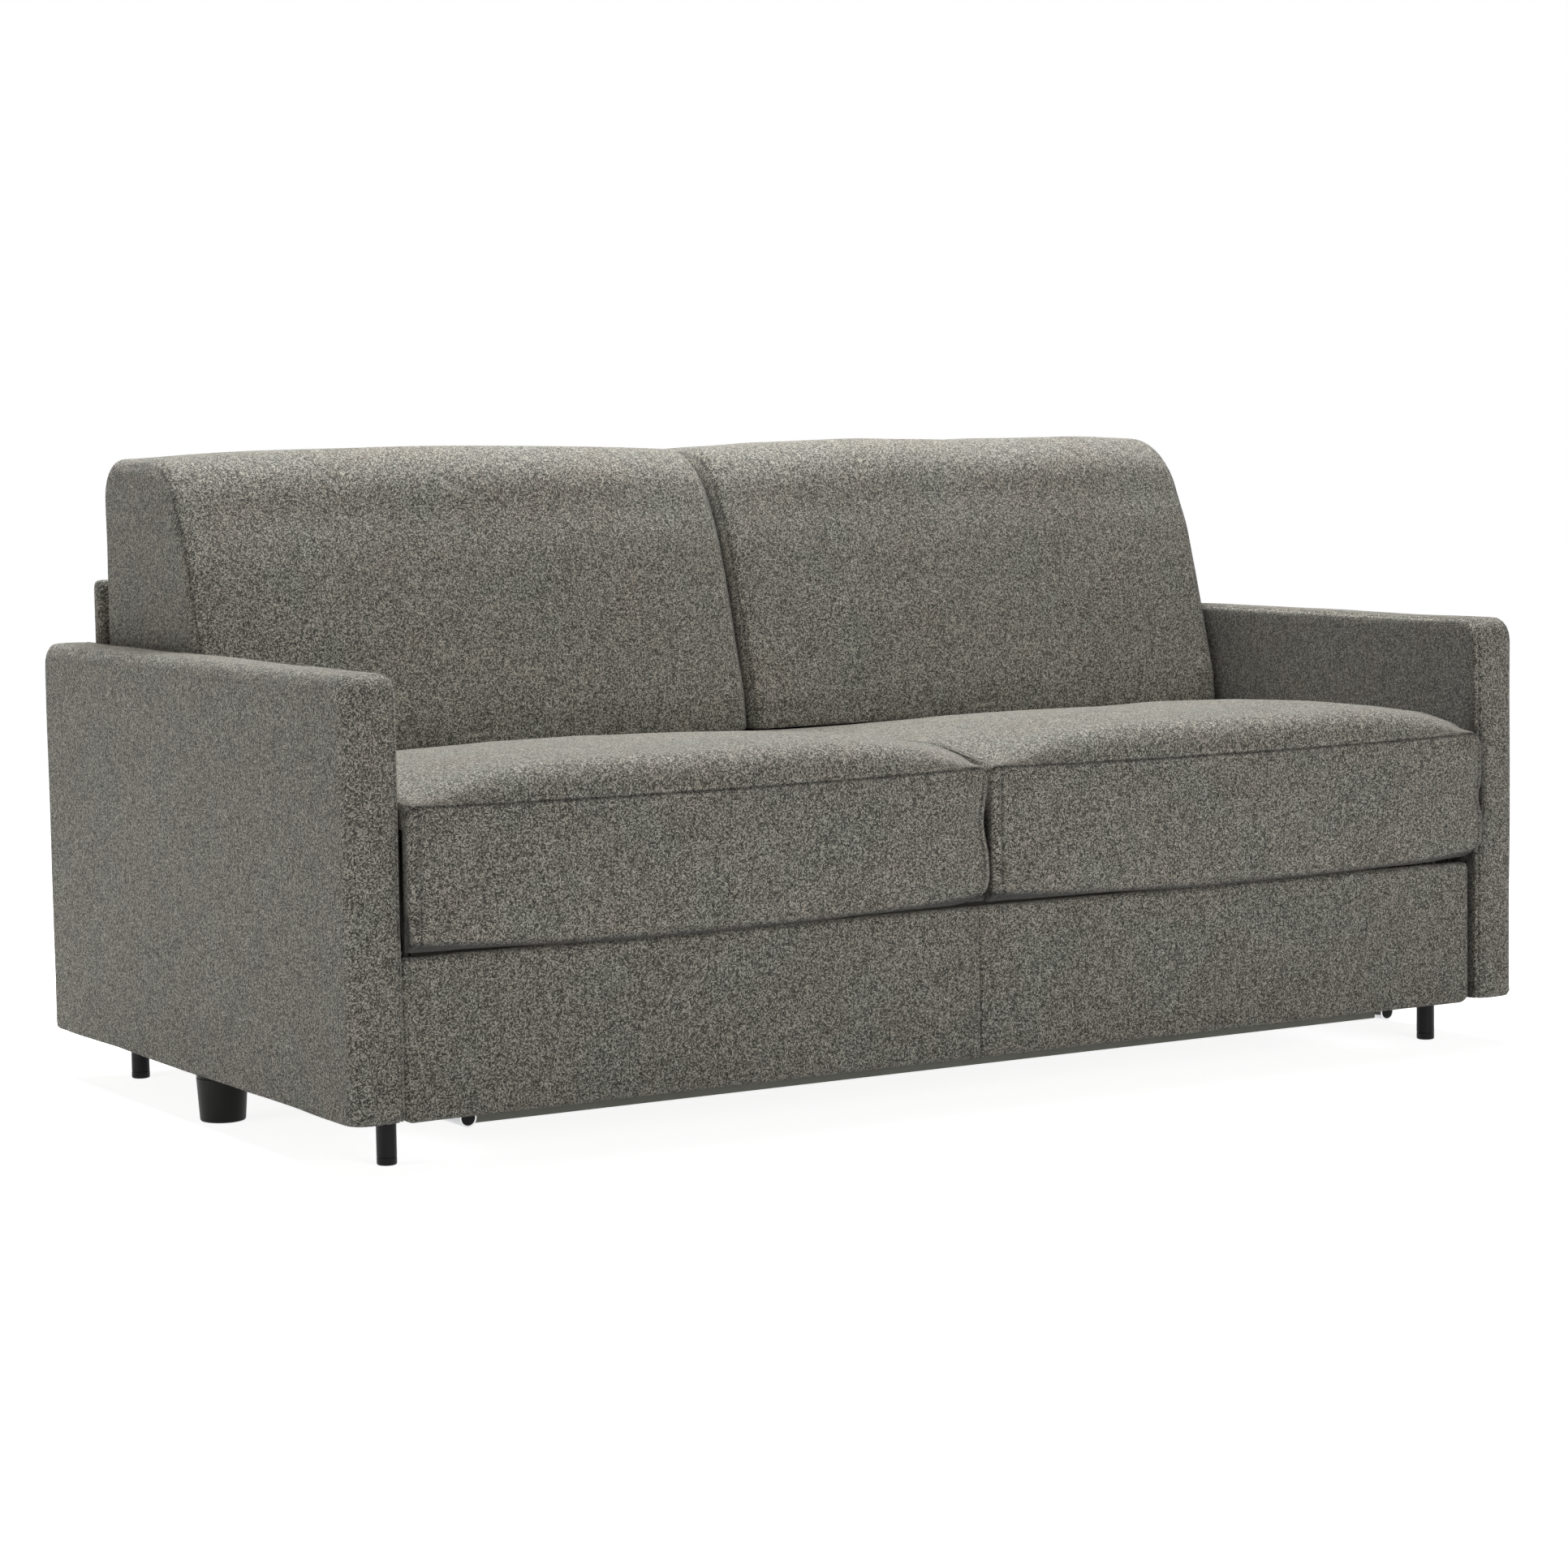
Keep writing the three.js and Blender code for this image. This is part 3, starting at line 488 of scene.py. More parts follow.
def roundedOutline(corners, count, extra=()):
    # A closed polygon in Y and Z whose corners are arcs of their own radius, walked anticlockwise and
    # sampled evenly by length, with more samples where extra names a place and a half width.
    corners = np.array(corners, float)
    walk = []
    for i, (y, z, radius) in enumerate(corners):
        here = np.array((y, z))
        before = corners[i - 1, :2] - here
        after = corners[(i + 1) % len(corners), :2] - here
        before /= np.linalg.norm(before)
        after /= np.linalg.norm(after)
        half = math.acos(np.clip(before @ after, -1, 1)) / 2
        if radius <= 0 or abs(half - math.pi / 2) < sampling["straight"]:
            walk.append(here[None])
            continue
        reach = radius / math.tan(half)
        middle = here + (before + after) / np.linalg.norm(before + after) * radius / math.sin(half)
        a, b = here + before * reach - middle, here + after * reach - middle
        turn = math.pi - 2 * half
        if a[0] * b[1] - a[1] * b[0] < 0:
            turn = -turn
        angles = np.linspace(0, turn, sampling["arcPoints"])
        cosine, sine = np.cos(angles), np.sin(angles)
        walk.append(middle + np.stack([a[0] * cosine - a[1] * sine, a[0] * sine + a[1] * cosine], 1))
    path = np.concatenate(walk)
    closed = np.vstack([path, path[:1]])
    lengths = np.concatenate(([0], np.cumsum(np.linalg.norm(np.diff(closed, axis=0), axis=1))))
    total = lengths[-1]
    places = np.arange(count) * total / count
    for middle, reach in extra:
        places = np.concatenate([places, middle + np.linspace(-reach, reach, sampling["extraPoints"])])
    places = thinned(places % total)
    outline = np.stack([np.interp(places, lengths, closed[:, k]) for k in (0, 1)], 1)
    step = sampling["normalStep"]
    ahead = np.stack([np.interp((places + step) % total, lengths, closed[:, k]) for k in (0, 1)], 1)
    behind = np.stack([np.interp((places - step) % total, lengths, closed[:, k]) for k in (0, 1)], 1)
    tangent = ahead - behind
    tangent /= np.linalg.norm(tangent, axis=1, keepdims=True)
    normal = np.stack([tangent[:, 1], -tangent[:, 0]], 1)
    return {"points": outline, "normal": normal, "places": places, "total": total}


def placeAt(outline, y, z):
    # the length along an outline at its point nearest to (y, z)
    distance = np.linalg.norm(outline["points"] - (y, z), axis=1)
    return outline["places"][np.argmin(distance)]


def stationsAcross(x0, x1, count, radii, extra=()):
    # Places across a piece from x0 to x1. Near each end the inset follows a quarter circle.
    left, right = radii
    arc = np.linspace(0, math.pi / 2, sampling["endStations"])
    start = x0 + left * (1 - np.cos(arc))
    end = x1 - right * (1 - np.cos(arc[::-1]))
    middle = np.linspace(start[-1], end[0], count)[1:-1]
    places = np.concatenate([start, middle, end])
    for centre, reach in extra:
        places = np.concatenate([places, centre + np.linspace(-reach, reach, sampling["extraStations"])])
    places = thinned(places)
    fromLeft = np.clip(1 - (places - x0) / left, 0, 1)
    fromRight = np.clip(1 - (x1 - places) / right, 0, 1)
    inset = left * (1 - np.sqrt(1 - fromLeft**2)) + right * (1 - np.sqrt(1 - fromRight**2))
    return {"places": places, "inset": inset}


def ridge(distance, width):
    # a bell curve, 1 where the distance is none
    return np.exp(-((distance / width) ** 2))


def smoothStep(value, low, high):
    # 0 below low, 1 above high, and a smooth rise between them
    share = np.clip((value - low) / (high - low), 0, 1)
    return share * share * (3 - 2 * share)


def slowWaves(seed, x, s, wavelengths, size):
    # slow uneven waves: a sum of cosines in directions drawn from the seed
    rng = np.random.default_rng(seed)
    total = np.zeros(np.broadcast(x, s).shape)
    for length in wavelengths:
        angle, phase = rng.uniform(0, 2 * math.pi, 2)
        wave = (x * math.cos(angle) + s * math.sin(angle)) * 2 * math.pi / length
        total += np.cos(wave + phase) * length / max(wavelengths)
    return total * size


def crease(x, s, start, end, width, depth):
    # a fold line from start to end in the cloth: a narrow dip with a soft lip beside it, fading at its ends
    a, b = np.array(start), np.array(end)
    along = b - a
    length = np.linalg.norm(along)
    along = along / length
    dx, ds = x - a[0], s - a[1]
    share = (dx * along[0] + ds * along[1]) / length
    across = -dx * along[1] + ds * along[0]
    fade = np.sin(math.pi * np.clip(share, 0, 1)) ** 0.8
    return depth * fade * (0.6 * ridge(across - 1.6 * width, 1.3 * width) - ridge(across, width))


def loft(name, body, material, outline, stations, relief=None, warp=None, endRelief=0.0, rings=10,
         foot=False, endShade=(0.0, 0.0)):
    # Point (i, j) stands at station i across X and at place j along the outline in Y and Z. The outline
    # shrinks about its centre by the station's inset. relief(x, s, grid) gives how far each point moves
    # along the outline's normal and how much painted shade darkens its cloth. Each end is closed by rings
    # that shrink to the centre, where they lie endRelief further out. Last, warp moves all the points. With
    # foot, the outline shrinks upwards from its lowest line instead, so the lower corners stay square.
    # endShade is the painted shade on the first and the last end.
    places, inset = stations["places"], stations["inset"]
    base, normal, s = outline["points"], outline["normal"], outline["places"]
    low, high = base.min(0), base.max(0)
    middle = (low + high) / 2
    half = (high - low) / 2
    pole = np.array((middle[0], low[1])) if foot else middle
    reach = half * (1, 2) if foot else half
    shrink = 1 - inset[:, None] / reach
    grid = pole + (base - pole)[None] * shrink[:, None, :]
    n, m = len(places), len(base)
    dark = np.zeros((n, m))
    if relief is not None:
        move, shaded = relief(places[:, None], s[None, :], grid)
        grid = grid + normal[None] * move[..., None]
        dark = np.broadcast_to(shaded, (n, m))
    bodyPoints = np.concatenate([np.broadcast_to(places[:, None, None], (n, m, 1)), grid], 2)
    across = np.concatenate(([0], np.cumsum(np.hypot(np.diff(places), np.diff(inset)))))
    shares = (np.arange(1, rings) / rings)[:, None, None]
    endRings = []
    for edge, sign in ((0, -1), (-1, 1)):
        inner = grid[edge][None] * (1 - shares) + middle * shares
        bulge = sign * endRelief * (1 - (1 - shares[:, :, 0]) ** 2)
        x = np.broadcast_to(places[edge] + bulge, (rings - 1, m))
        endRings.append(np.concatenate([x[..., None], inner], 2))
    tips = [np.array([places[edge] + sign * endRelief, *middle]) for edge, sign in ((0, -1), (-1, 1))]
    layers = np.concatenate([endRings[0][::-1], bodyPoints, endRings[1]])
    rows = len(layers)
    number = np.arange(rows * m).reshape(rows, m)
    ahead = np.roll(number, -1, 1)
    faces = np.stack([number[:-1], ahead[:-1], ahead[1:], number[1:]], 2).reshape(-1, 4)
    u = np.concatenate([np.zeros(rings - 1), across, np.zeros(rings - 1)])
    along, alongNext = s, np.append(s[1:], outline["total"])
    bodyMap = np.stack([
        np.stack(np.broadcast_arrays(u[:-1, None], along[None]), 2),
        np.stack(np.broadcast_arrays(u[:-1, None], alongNext[None]), 2),
        np.stack(np.broadcast_arrays(u[1:, None], alongNext[None]), 2),
        np.stack(np.broadcast_arrays(u[1:, None], along[None]), 2),
    ], 2)
    flat = layers[..., 1:]
    flatNext = np.roll(flat, -1, 1)
    endMap = np.stack([flat[:-1], flatNext[:-1], flatNext[1:], flat[1:]], 2)
    isEnd = np.ones(rows - 1, bool)
    isEnd[rings - 1:rings - 2 + n] = False
    corners = np.where(isEnd[:, None, None, None], endMap, bodyMap).reshape(-1, 4, 2)
    none = np.full(m, -1)
    first = np.stack([np.full(m, rows * m), ahead[0], number[0], none], 1)
    last = np.stack([np.full(m, rows * m + 1), number[-1], ahead[-1], none], 1)
    tip = np.broadcast_to(middle, (m, 2))
    firstMap = np.stack([tip, flatNext[0], flat[0], tip], 1)
    lastMap = np.stack([tip, flat[-1], flatNext[-1], tip], 1)
    points = np.concatenate([layers.reshape(-1, 3), tips])
    if warp is not None:
        points = warp(points)
    # the painted shade of each point: endShade on the end rings and tips, the relief's shade on the body
    shade = np.full(len(points), endShade[0])
    shade[(rings - 1 + n) * m:] = endShade[1]
    shade[(rings - 1) * m:(rings - 1 + n) * m] = dark.ravel()
    shade[-2:] = endShade
    allFaces = np.concatenate([faces, first, last])
    allCorners = np.concatenate([corners, firstMap, lastMap])
    return addPiece(name, material, body, points, allFaces, allCorners, shade)


def cutAway(piece, boxes):
    # takes boxes (x0, x1, y0, y1, z0, z1) out of a piece and joins the cut edges' nearly equal points
    for x0, x1, y0, y1, z0, z1 in boxes:
        mesh = bpy.data.meshes.new("tool")
        points = [(x, y, z) for x in (x0, x1) for y in (y0, y1) for z in (z0, z1)]
        quads = [(0, 1, 3, 2), (4, 6, 7, 5), (0, 4, 5, 1), (2, 3, 7, 6), (0, 2, 6, 4), (1, 5, 7, 3)]
        mesh.from_pydata(points, [], quads)
        tool = bpy.data.objects.new("tool", mesh)
        bpy.context.scene.collection.objects.link(tool)
        modifier = piece.modifiers.new("cut", "BOOLEAN")
        modifier.operation = "DIFFERENCE"
        modifier.solver = "EXACT"
        modifier.object = tool
        bpy.context.view_layer.update()
        evaluated = piece.evaluated_get(bpy.context.evaluated_depsgraph_get())
        cutMesh = bpy.data.meshes.new_from_object(evaluated)
        piece.modifiers.clear()
        old = piece.data
        piece.data = cutMesh
        bpy.data.meshes.remove(old)
        bpy.data.objects.remove(tool)
    joined = bmesh.new()
    joined.from_mesh(piece.data)
    bmesh.ops.remove_doubles(joined, verts=joined.verts, dist=sampling["join"])
    joined.to_mesh(piece.data)
    joined.free()


def reshape(piece, warp):
    # moves a finished piece's points by warp
    vertices = piece.data.vertices
    points = np.empty(len(vertices) * 3, np.float32)
    vertices.foreach_get("co", points)
    moved = warp(points.reshape(-1, 3).astype(float))
    vertices.foreach_set("co", moved.astype(np.float32).ravel())
    piece.data.update()


stitch = {"pitch": 4.2 * mm, "length": 3.0 * mm, "radius": 0.45 * mm, "shoulderShare": 0.28, "sides": 6}


def stitchRun(name, body, points):
    # a row of stitches along a path: short six-sided beads with pointed ends, one every pitch
    sides, shoulder = stitch["sides"], stitch["shoulderShare"]
    points = np.array(points, float)
    lengths = np.concatenate(([0], np.cumsum(np.linalg.norm(np.diff(points, axis=0), axis=1))))
    starts = np.arange(stitch["pitch"] / 2, lengths[-1] - stitch["length"], stitch["pitch"])

    def at(place):
        return np.stack([np.interp(place, lengths, points[:, k]) for k in range(3)], 1)
    a, b = at(starts), at(starts + stitch["length"])
    along = (b - a) / np.linalg.norm(b - a, axis=1, keepdims=True)
    side = np.cross(along, np.array((0.31, 0.52, 0.79)))  # any direction that no row of stitches follows
    side /= np.linalg.norm(side, axis=1, keepdims=True)
    other = np.cross(along, side)
    angles = np.arange(sides) * 2 * math.pi / sides
    ring = side[:, None] * np.cos(angles)[None, :, None] + other[:, None] * np.sin(angles)[None, :, None]
    near = (a * (1 - shoulder) + b * shoulder)[:, None] + ring * stitch["radius"]
    far = (a * shoulder + b * (1 - shoulder))[:, None] + ring * stitch["radius"]
    beads = np.concatenate([a[:, None], near, far, b[:, None]], 1)
    last = 2 * sides + 1
    faces = []
    for k in range(sides):
        after = (k + 1) % sides
        faces.append((0, 1 + after, 1 + k, -1))
        faces.append((1 + k, 1 + after, 1 + sides + after, 1 + sides + k))
        faces.append((1 + sides + k, 1 + sides + after, last, -1))
    faces = np.array(faces)
    shift = (last + 1) * np.arange(len(starts))[:, None, None]
    rows = np.where(faces[None] >= 0, faces[None] + shift, -1)
    return addPiece(name, thread, body, beads.reshape(-1, 3), rows.reshape(-1, 4))


def turned(name, body, material, node, profile, origin, axis, sides=56):
    # A closed turned form: profile pairs are (radius, place along the axis) from one end to the other.
    # Pairs of radius zero are its tips; a profile without them is a ring whose last pair joins its first.
    profile = np.array(profile, float)
    axis = np.array(axis, float)
    first = np.cross(axis, (0.0, 0.0, 1.0) if abs(axis[2]) < 0.9 else (1.0, 0.0, 0.0))
    second = np.cross(axis, first)
    angles = np.arange(sides) * 2 * math.pi / sides
    spoke = np.cos(angles)[:, None] * first + np.sin(angles)[:, None] * second
    closedRing = profile[0, 0] > 0
    inner = profile if closedRing else profile[1:-1]
    rings = np.array(origin) + inner[:, 1, None, None] * axis + inner[:, 0, None, None] * spoke[None]
    rows = len(inner)
    number = np.arange(rows * sides).reshape(rows, sides)
    nextRow = np.roll(number, -1, 0) if closedRing else number[1:]
    thisRow = number if closedRing else number[:-1]
    faces = np.stack([thisRow, np.roll(thisRow, -1, 1), np.roll(nextRow, -1, 1), nextRow], 2).reshape(-1, 4)
    points = rings.reshape(-1, 3)
    if not closedRing:
        tips = np.array(origin) + profile[[0, -1], 1, None] * axis
        none = np.full(sides, -1)
        start = np.stack([np.full(sides, rows * sides), np.roll(number[0], -1), number[0], none], 1)
        end = np.stack([np.full(sides, rows * sides + 1), number[-1], np.roll(number[-1], -1), none], 1)
        faces = np.concatenate([faces, start, end])
        points = np.concatenate([points, tips])
    piece = addPiece(name, material, body, points, faces)
    mesh = bmesh.new()
    mesh.from_mesh(piece.data)
    bmesh.ops.recalc_face_normals(mesh, faces=mesh.faces)
    for edge in mesh.edges:
        if edge.calc_face_angle(0.0) > sampling["sharpAngle"]:
            edge.smooth = False
    mesh.to_mesh(piece.data)
    mesh.free()
    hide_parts(node)


def sideOf(name):
    return -1 if name.startswith("left") else 1


def span(name, inner, outer):
    # the X range of a piece on its own side, lowest first
    return (inner, outer) if sideOf(name) > 0 else (-outer, -inner)


def camel(node):
    # left_arm_foot becomes leftArmFoot
    first, *others = node.split("_")
    return first + "".join(word.capitalize() for word in others)


# Seat cushions

seat = {
    "inner": 3 * mm, "outer": 829 * mm,
    "corners": [(-503.5, 268, 8), (160, 268, 10), (160, 451, 18), (-503.5, 484, 44)],  # y, z, radius in mm
    "endRadius": {"left": (13 * mm, 12 * mm), "right": (9 * mm, 12 * mm)},
    "crown": 17 * mm, "crownPower": 2.6,
    "borderBulge": 3.8 * mm, "bulgePower": 0.8, "bulgeDepth": 20 * mm,
    "slabLow": 416.5 * mm, "borderRear": -477.5 * mm,
    "seam": 445 * mm, "seamDips": [(3.0 * mm, 1.9 * mm), (1.7 * mm, 9 * mm)],  # depth and width
    "seamShade": (0.62, 1.7 * mm),  # painted shade in the seam's groove: how dark, and width
    "gather": 0.55 * mm, "gatherPitch": 27 * mm, "gatherReach": 15 * mm,
    # the side and end seams' shade is painted shade in their grooves
    "sideSeam": 11 * mm, "sideDip": (1.6 * mm, 1.7 * mm), "sideShade": (0.4, 1.5 * mm),
    "endSeam": 4 * mm, "endDip": (1.6 * mm, 2.0 * mm), "endShade": (0.5, 1.6 * mm),
    "besideArmShade": 0.35, "underside": 0.9,  # painted shade: how dark the end beside the right arm is, and how dark the underside is
    "waves": (0.46, 0.31, 0.19, 0.12, 0.07), "waveSize": 1.0 * mm,
    "pulls": [((-0.22, -0.05), (-0.16, -0.012), 1.0 * mm), ((0.2, -0.06), (0.17, -0.015), 1.2 * mm)],
    "pullWidth": 3 * mm,
    "edgeLine": [(-505, 446), (-470, 449), (-410, 460), (-370, 467), (-200, 465), (60, 459),
                 (100, 457.5), (130, 454.5), (160, 451)],  # y and z in mm of the top's seam at an end
    "flatEnd": 4.6,  # the higher, the nearer to its ends the top stays full
    "seamSag": 4 * mm, "sagDepths": (0.25, 0.48), "sagBelow": 475 * mm,
    "lowRise": 10 * mm, "lowRiseReach": 30 * mm, "lowRiseDepths": (0.479, 0.495),
    "cornerShare": 0.8,  # where on the half width the rounding of the free corners sets in
    "lowCorner": 36 * mm, "lowCornerDepths": (0.465, 0.475),
    "highCorner": 24 * mm, "highCornerDepths": (0.43, 0.495), "highLift": 4 * mm,
    "highShare": {"left": (0, 0.6), "right": (0.3, 0.9)},
    "snug": 2.5 * mm, "snugDepths": (0.479, 0.5), "snugHeight": 350 * mm, "snugReach": 90 * mm,
    "waist": {"left": (375, 9, 35), "right": (355, 7, 18)},  # height, depth and reach in mm
    "waistShare": 0.88,  # where on the half width that hollow sets in
    "stitchGap": 2.2 * mm, "stitchEnds": (18 * mm, 8 * mm), "stitchSwell": 0.35,
    "outlinePoints": 230, "seamDetail": 9 * mm, "stations": 118, "sideDetail": 8 * mm, "endRelief": 0.5 * mm,
    "seed": {"left": 31, "right": 47},
    "fill": 0.8,
}


def seatCushion(name):
    # Two parts meet at the seam: a border that stands nearly upright, and a top that rolls over the front
    # edge. Towards each end the top sinks to the line of its own edge seam, by a high power of the place
    # across.
    spec = seat
    corners = [(y * mm, z * mm, r * mm) for y, z, r in spec["corners"]]
    front, rear, low = corners[0][0], corners[1][0], corners[0][1]
    seam = spec["seam"]
    plain = roundedOutline(corners, sampling["findPoints"])
    seamPlace = placeAt(plain, front, seam)
    outline = roundedOutline(corners, spec["outlinePoints"], [(seamPlace, spec["seamDetail"])])
    side = sideOf(name)
    own = "left" if side < 0 else "right"
    x0, x1 = span(name, spec["inner"], spec["outer"])
    edges = (x0 + spec["sideSeam"], x1 - spec["sideSeam"])
    extra = [(edge, spec["sideDetail"]) for edge in edges]
    stations = stationsAcross(x0, x1, spec["stations"], spec["endRadius"][own], extra)
    half, centre = (x1 - x0) / 2, (x0 + x1) / 2
    seed = spec["seed"][own]
    line = np.array(spec["edgeLine"]) * mm

    def relief(x, s, grid):
        y, z = grid[..., 0], grid[..., 1]
        across = np.clip(1 - np.abs((x - centre) / half) ** 6, 0, 1)
        depth = np.clip((y - front) / (rear - front), 0, 1)
        onTop = smoothStep(z, seam, seam + 20 * mm)
        crown = spec["crown"] * across * (1 - np.abs(2 * depth - 1) ** spec["crownPower"]) * onTop
        share = np.clip((z - low) / (seam - low), 0, 1)
        onFront = np.clip(1 - (y - front) / spec["bulgeDepth"], 0, 1)
        bulge = spec["borderBulge"] * np.sin(math.pi * share) ** spec["bulgePower"] * onFront * across
        fromSeam = s - seamPlace
        facing = smoothStep(front + 20 * mm - y, 0, 10 * mm)
        dip = sum(deep * ridge(fromSeam, wide) for deep, wide in spec["seamDips"])
        gather = spec["gather"] * np.sin(x * 2 * math.pi / spec["gatherPitch"] + 3 * np.sin(x * 13 + seed))
        gather = gather * np.exp(-np.abs(fromSeam) / spec["gatherReach"])
        move = crown + bulge + (gather - dip) * facing
        # painted shade along the sunk seam, along the side seams below it and along the end seams above it
        dark, wide = spec["seamShade"]
        shade = dark * ridge(fromSeam, wide) * facing
        below = smoothStep(seam - z, 0, 3 * mm) * facing
        above = smoothStep(z, seam - 2 * mm, seam + 4 * mm)
        for edge in edges:
            move = move - spec["sideDip"][0] * ridge(x - edge, spec["sideDip"][1]) * below
            shade = shade + spec["sideShade"][0] * ridge(x - edge, spec["sideShade"][1]) * below
        for end in (x0, x1):
            fromSeamline = np.abs(x - end) - spec["endSeam"]
            move = move - spec["endDip"][0] * ridge(fromSeamline, spec["endDip"][1]) * above
            shade = shade + spec["endShade"][0] * ridge(fromSeamline, spec["endShade"][1]) * above
        # painted shade on the right cushion's end beside the arm
        if own == "right":
            shade = shade + spec["besideArmShade"] * smoothStep(x, x1 - 9 * mm, x1 - 4 * mm) * facing
        # painted shade under the cushion: on the border's lower part behind its front skin and along its
        # bottom edge
        behind = smoothStep(y, front + 6 * mm, front + 12 * mm) * smoothStep(low + 50 * mm - z, 0, 10 * mm)
        shade = shade + spec["underside"] * (behind + smoothStep(low + 9 * mm - z, 0, 5 * mm))
        slow = slowWaves(seed, x, s, spec["waves"], spec["waveSize"]) * (1 - 0.5 * onFront)
        for start, end, deep in spec["pulls"]:
            a = (centre + start[0], seamPlace + start[1])
            b = (centre + end[0], seamPlace + end[1])
            slow = slow + crease(x, s, a, b, spec["pullWidth"], deep)
        return move + slow, np.clip(shade, 0, 0.85)

    def warp(points):
        # Depths are distances in front of the origin. The ends of the top sink to their seam, the seam sags
        # in its middle, the border's free corners turn round, and the end has a hollow at its waist.
        x, y, z = points.T.copy()
        share = np.abs((x - centre) / half)
        endward = np.clip(share, 0, 1) ** spec["flatEnd"]
        change = np.interp(y, line[:, 0], line[:, 1]) - z
        rise = smoothStep(-change, -16 * mm, -8 * mm) * smoothStep(y, -0.46, -0.38)
        z = z + endward * np.where(change < 0, change, change * rise)
        sag = spec["seamSag"] * (1 - np.clip(share, 0, 1) ** 2) * smoothStep(-y, *spec["sagDepths"])
        z = z - sag * smoothStep(spec["sagBelow"] - z, 0, 30 * mm)
        lift = spec["lowRise"] * share**3 * ridge(z - low, spec["lowRiseReach"])
        z = z + lift * smoothStep(-y, *spec["lowRiseDepths"])
        nearEnd = smoothStep(share, spec["cornerShare"], 1.0)
        h = np.clip(1 - (z - low) / spec["lowCorner"], 0, 1) * (x > centre)
        drawn = spec["lowCorner"] * (1 - np.sqrt(1 - h**2)) * nearEnd
        x = x - drawn * smoothStep(-y, *spec["lowCornerDepths"])
        h = np.clip(1 + (z - seam - spec["highLift"]) / spec["highCorner"], 0, 1)
        drawn = spec["highCorner"] * (1 - np.sqrt(1 - h**2)) * nearEnd
        drawn = drawn * smoothStep(-y, *spec["highCornerDepths"])
        leftShare, rightShare = spec["highShare"][own]
        x = x + drawn * np.where(x < centre, leftShare, -rightShare)
        snug = spec["snug"] * smoothStep(share, 0.98, 1.0) * smoothStep(-y, *spec["snugDepths"])
        x = x + snug * np.sign(x - centre) * ridge(z - spec["snugHeight"], spec["snugReach"])
        height, deep, reach = (v * mm for v in spec["waist"][own])
        x = x - deep * ridge(z - height, reach) * smoothStep((x - centre) / half, spec["waistShare"], 1.0)
        return np.stack([x, y, z], 1)
    piece = loft(name, "seat_section", fabric, outline, stations, relief, None,
                 spec["endRelief"], foot=True)
    away = 0.1  # past the piece on its open sides
    cutAway(piece, [(x0 - away, x1 + away, spec["borderRear"], rear + away, low - away, spec["slabLow"])])
    reshape(piece, warp)
    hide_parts(("left" if side < 0 else "right") + "_seat_cushion")
    lowEnd, highEnd = spec["stitchEnds"]
    rise = np.linspace(low + lowEnd, seam - highEnd, 40)
    swell = np.sin(math.pi * (rise - low) / (seam - low)) ** spec["bulgePower"]
    out = front - spec["borderBulge"] * swell * spec["stitchSwell"] - 0.1 * mm
    for edge in edges:
        label = name + "Stitch" + str(int(round((edge - x0) / mm)))
        for letter, shift in (("a", -spec["stitchGap"]), ("b", spec["stitchGap"])):
            run = np.stack([np.full(len(rise), edge + shift), out, rise], 1)
            stitchRun(label + letter, "seat_section", warp(run))


# Back cushions

back = {
    "inner": 3 * mm, "outer": 829 * mm,
    "corners": [(458, 470, 8), (458, 856, 42), (232, 856, 108), (172, 733, 300), (135, 617, 300),
                (104, 505, 80), (98, 458, 5)],  # y, z, radius in mm
    "endRadius": 22 * mm, "crown": 8 * mm, "belly": 5 * mm,
    "noseFrom": (25 * mm, 20 * mm),  # the nose's place behind and below its corner
    "seamIn": 6 * mm, "seamDip": (1.7 * mm, 1.9 * mm), "seamShade": (0.5, 1.6 * mm),
    "waves": (0.52, 0.33, 0.21, 0.13, 0.08), "waveSize": 1.4 * mm,
    "creaseWidth": 4.5 * mm, "creaseDepth": 2.2 * mm,
    "pocketSide": 793.5 * mm, "deckFront": 297.2 * mm, "deckTop": 793.5 * mm,
    "mattressFront": 323 * mm, "mattressTop": 830.3 * mm, "mattressRear": 448.8 * mm, "openLow": 670 * mm,
    "creases": {
        "left": [
            ((-0.03, 0.030), (0.05, 0.085)), ((-0.21, -0.02), (-0.17, 0.06)), ((0.25, 0.25), (0.33, 0.30))],
        "right": [
            ((-0.30, 0.03), (-0.20, 0.09)), ((0.20, -0.01), (0.26, 0.06)), ((-0.26, 0.27), (-0.34, 0.33))],
    },  # across from the middle, and down from the nose
    "outlinePoints": 220, "stations": 120, "endRelief": 1.5 * mm,
    "seed": {"left": 70, "right": 93},
    "fill": 0.75,
}


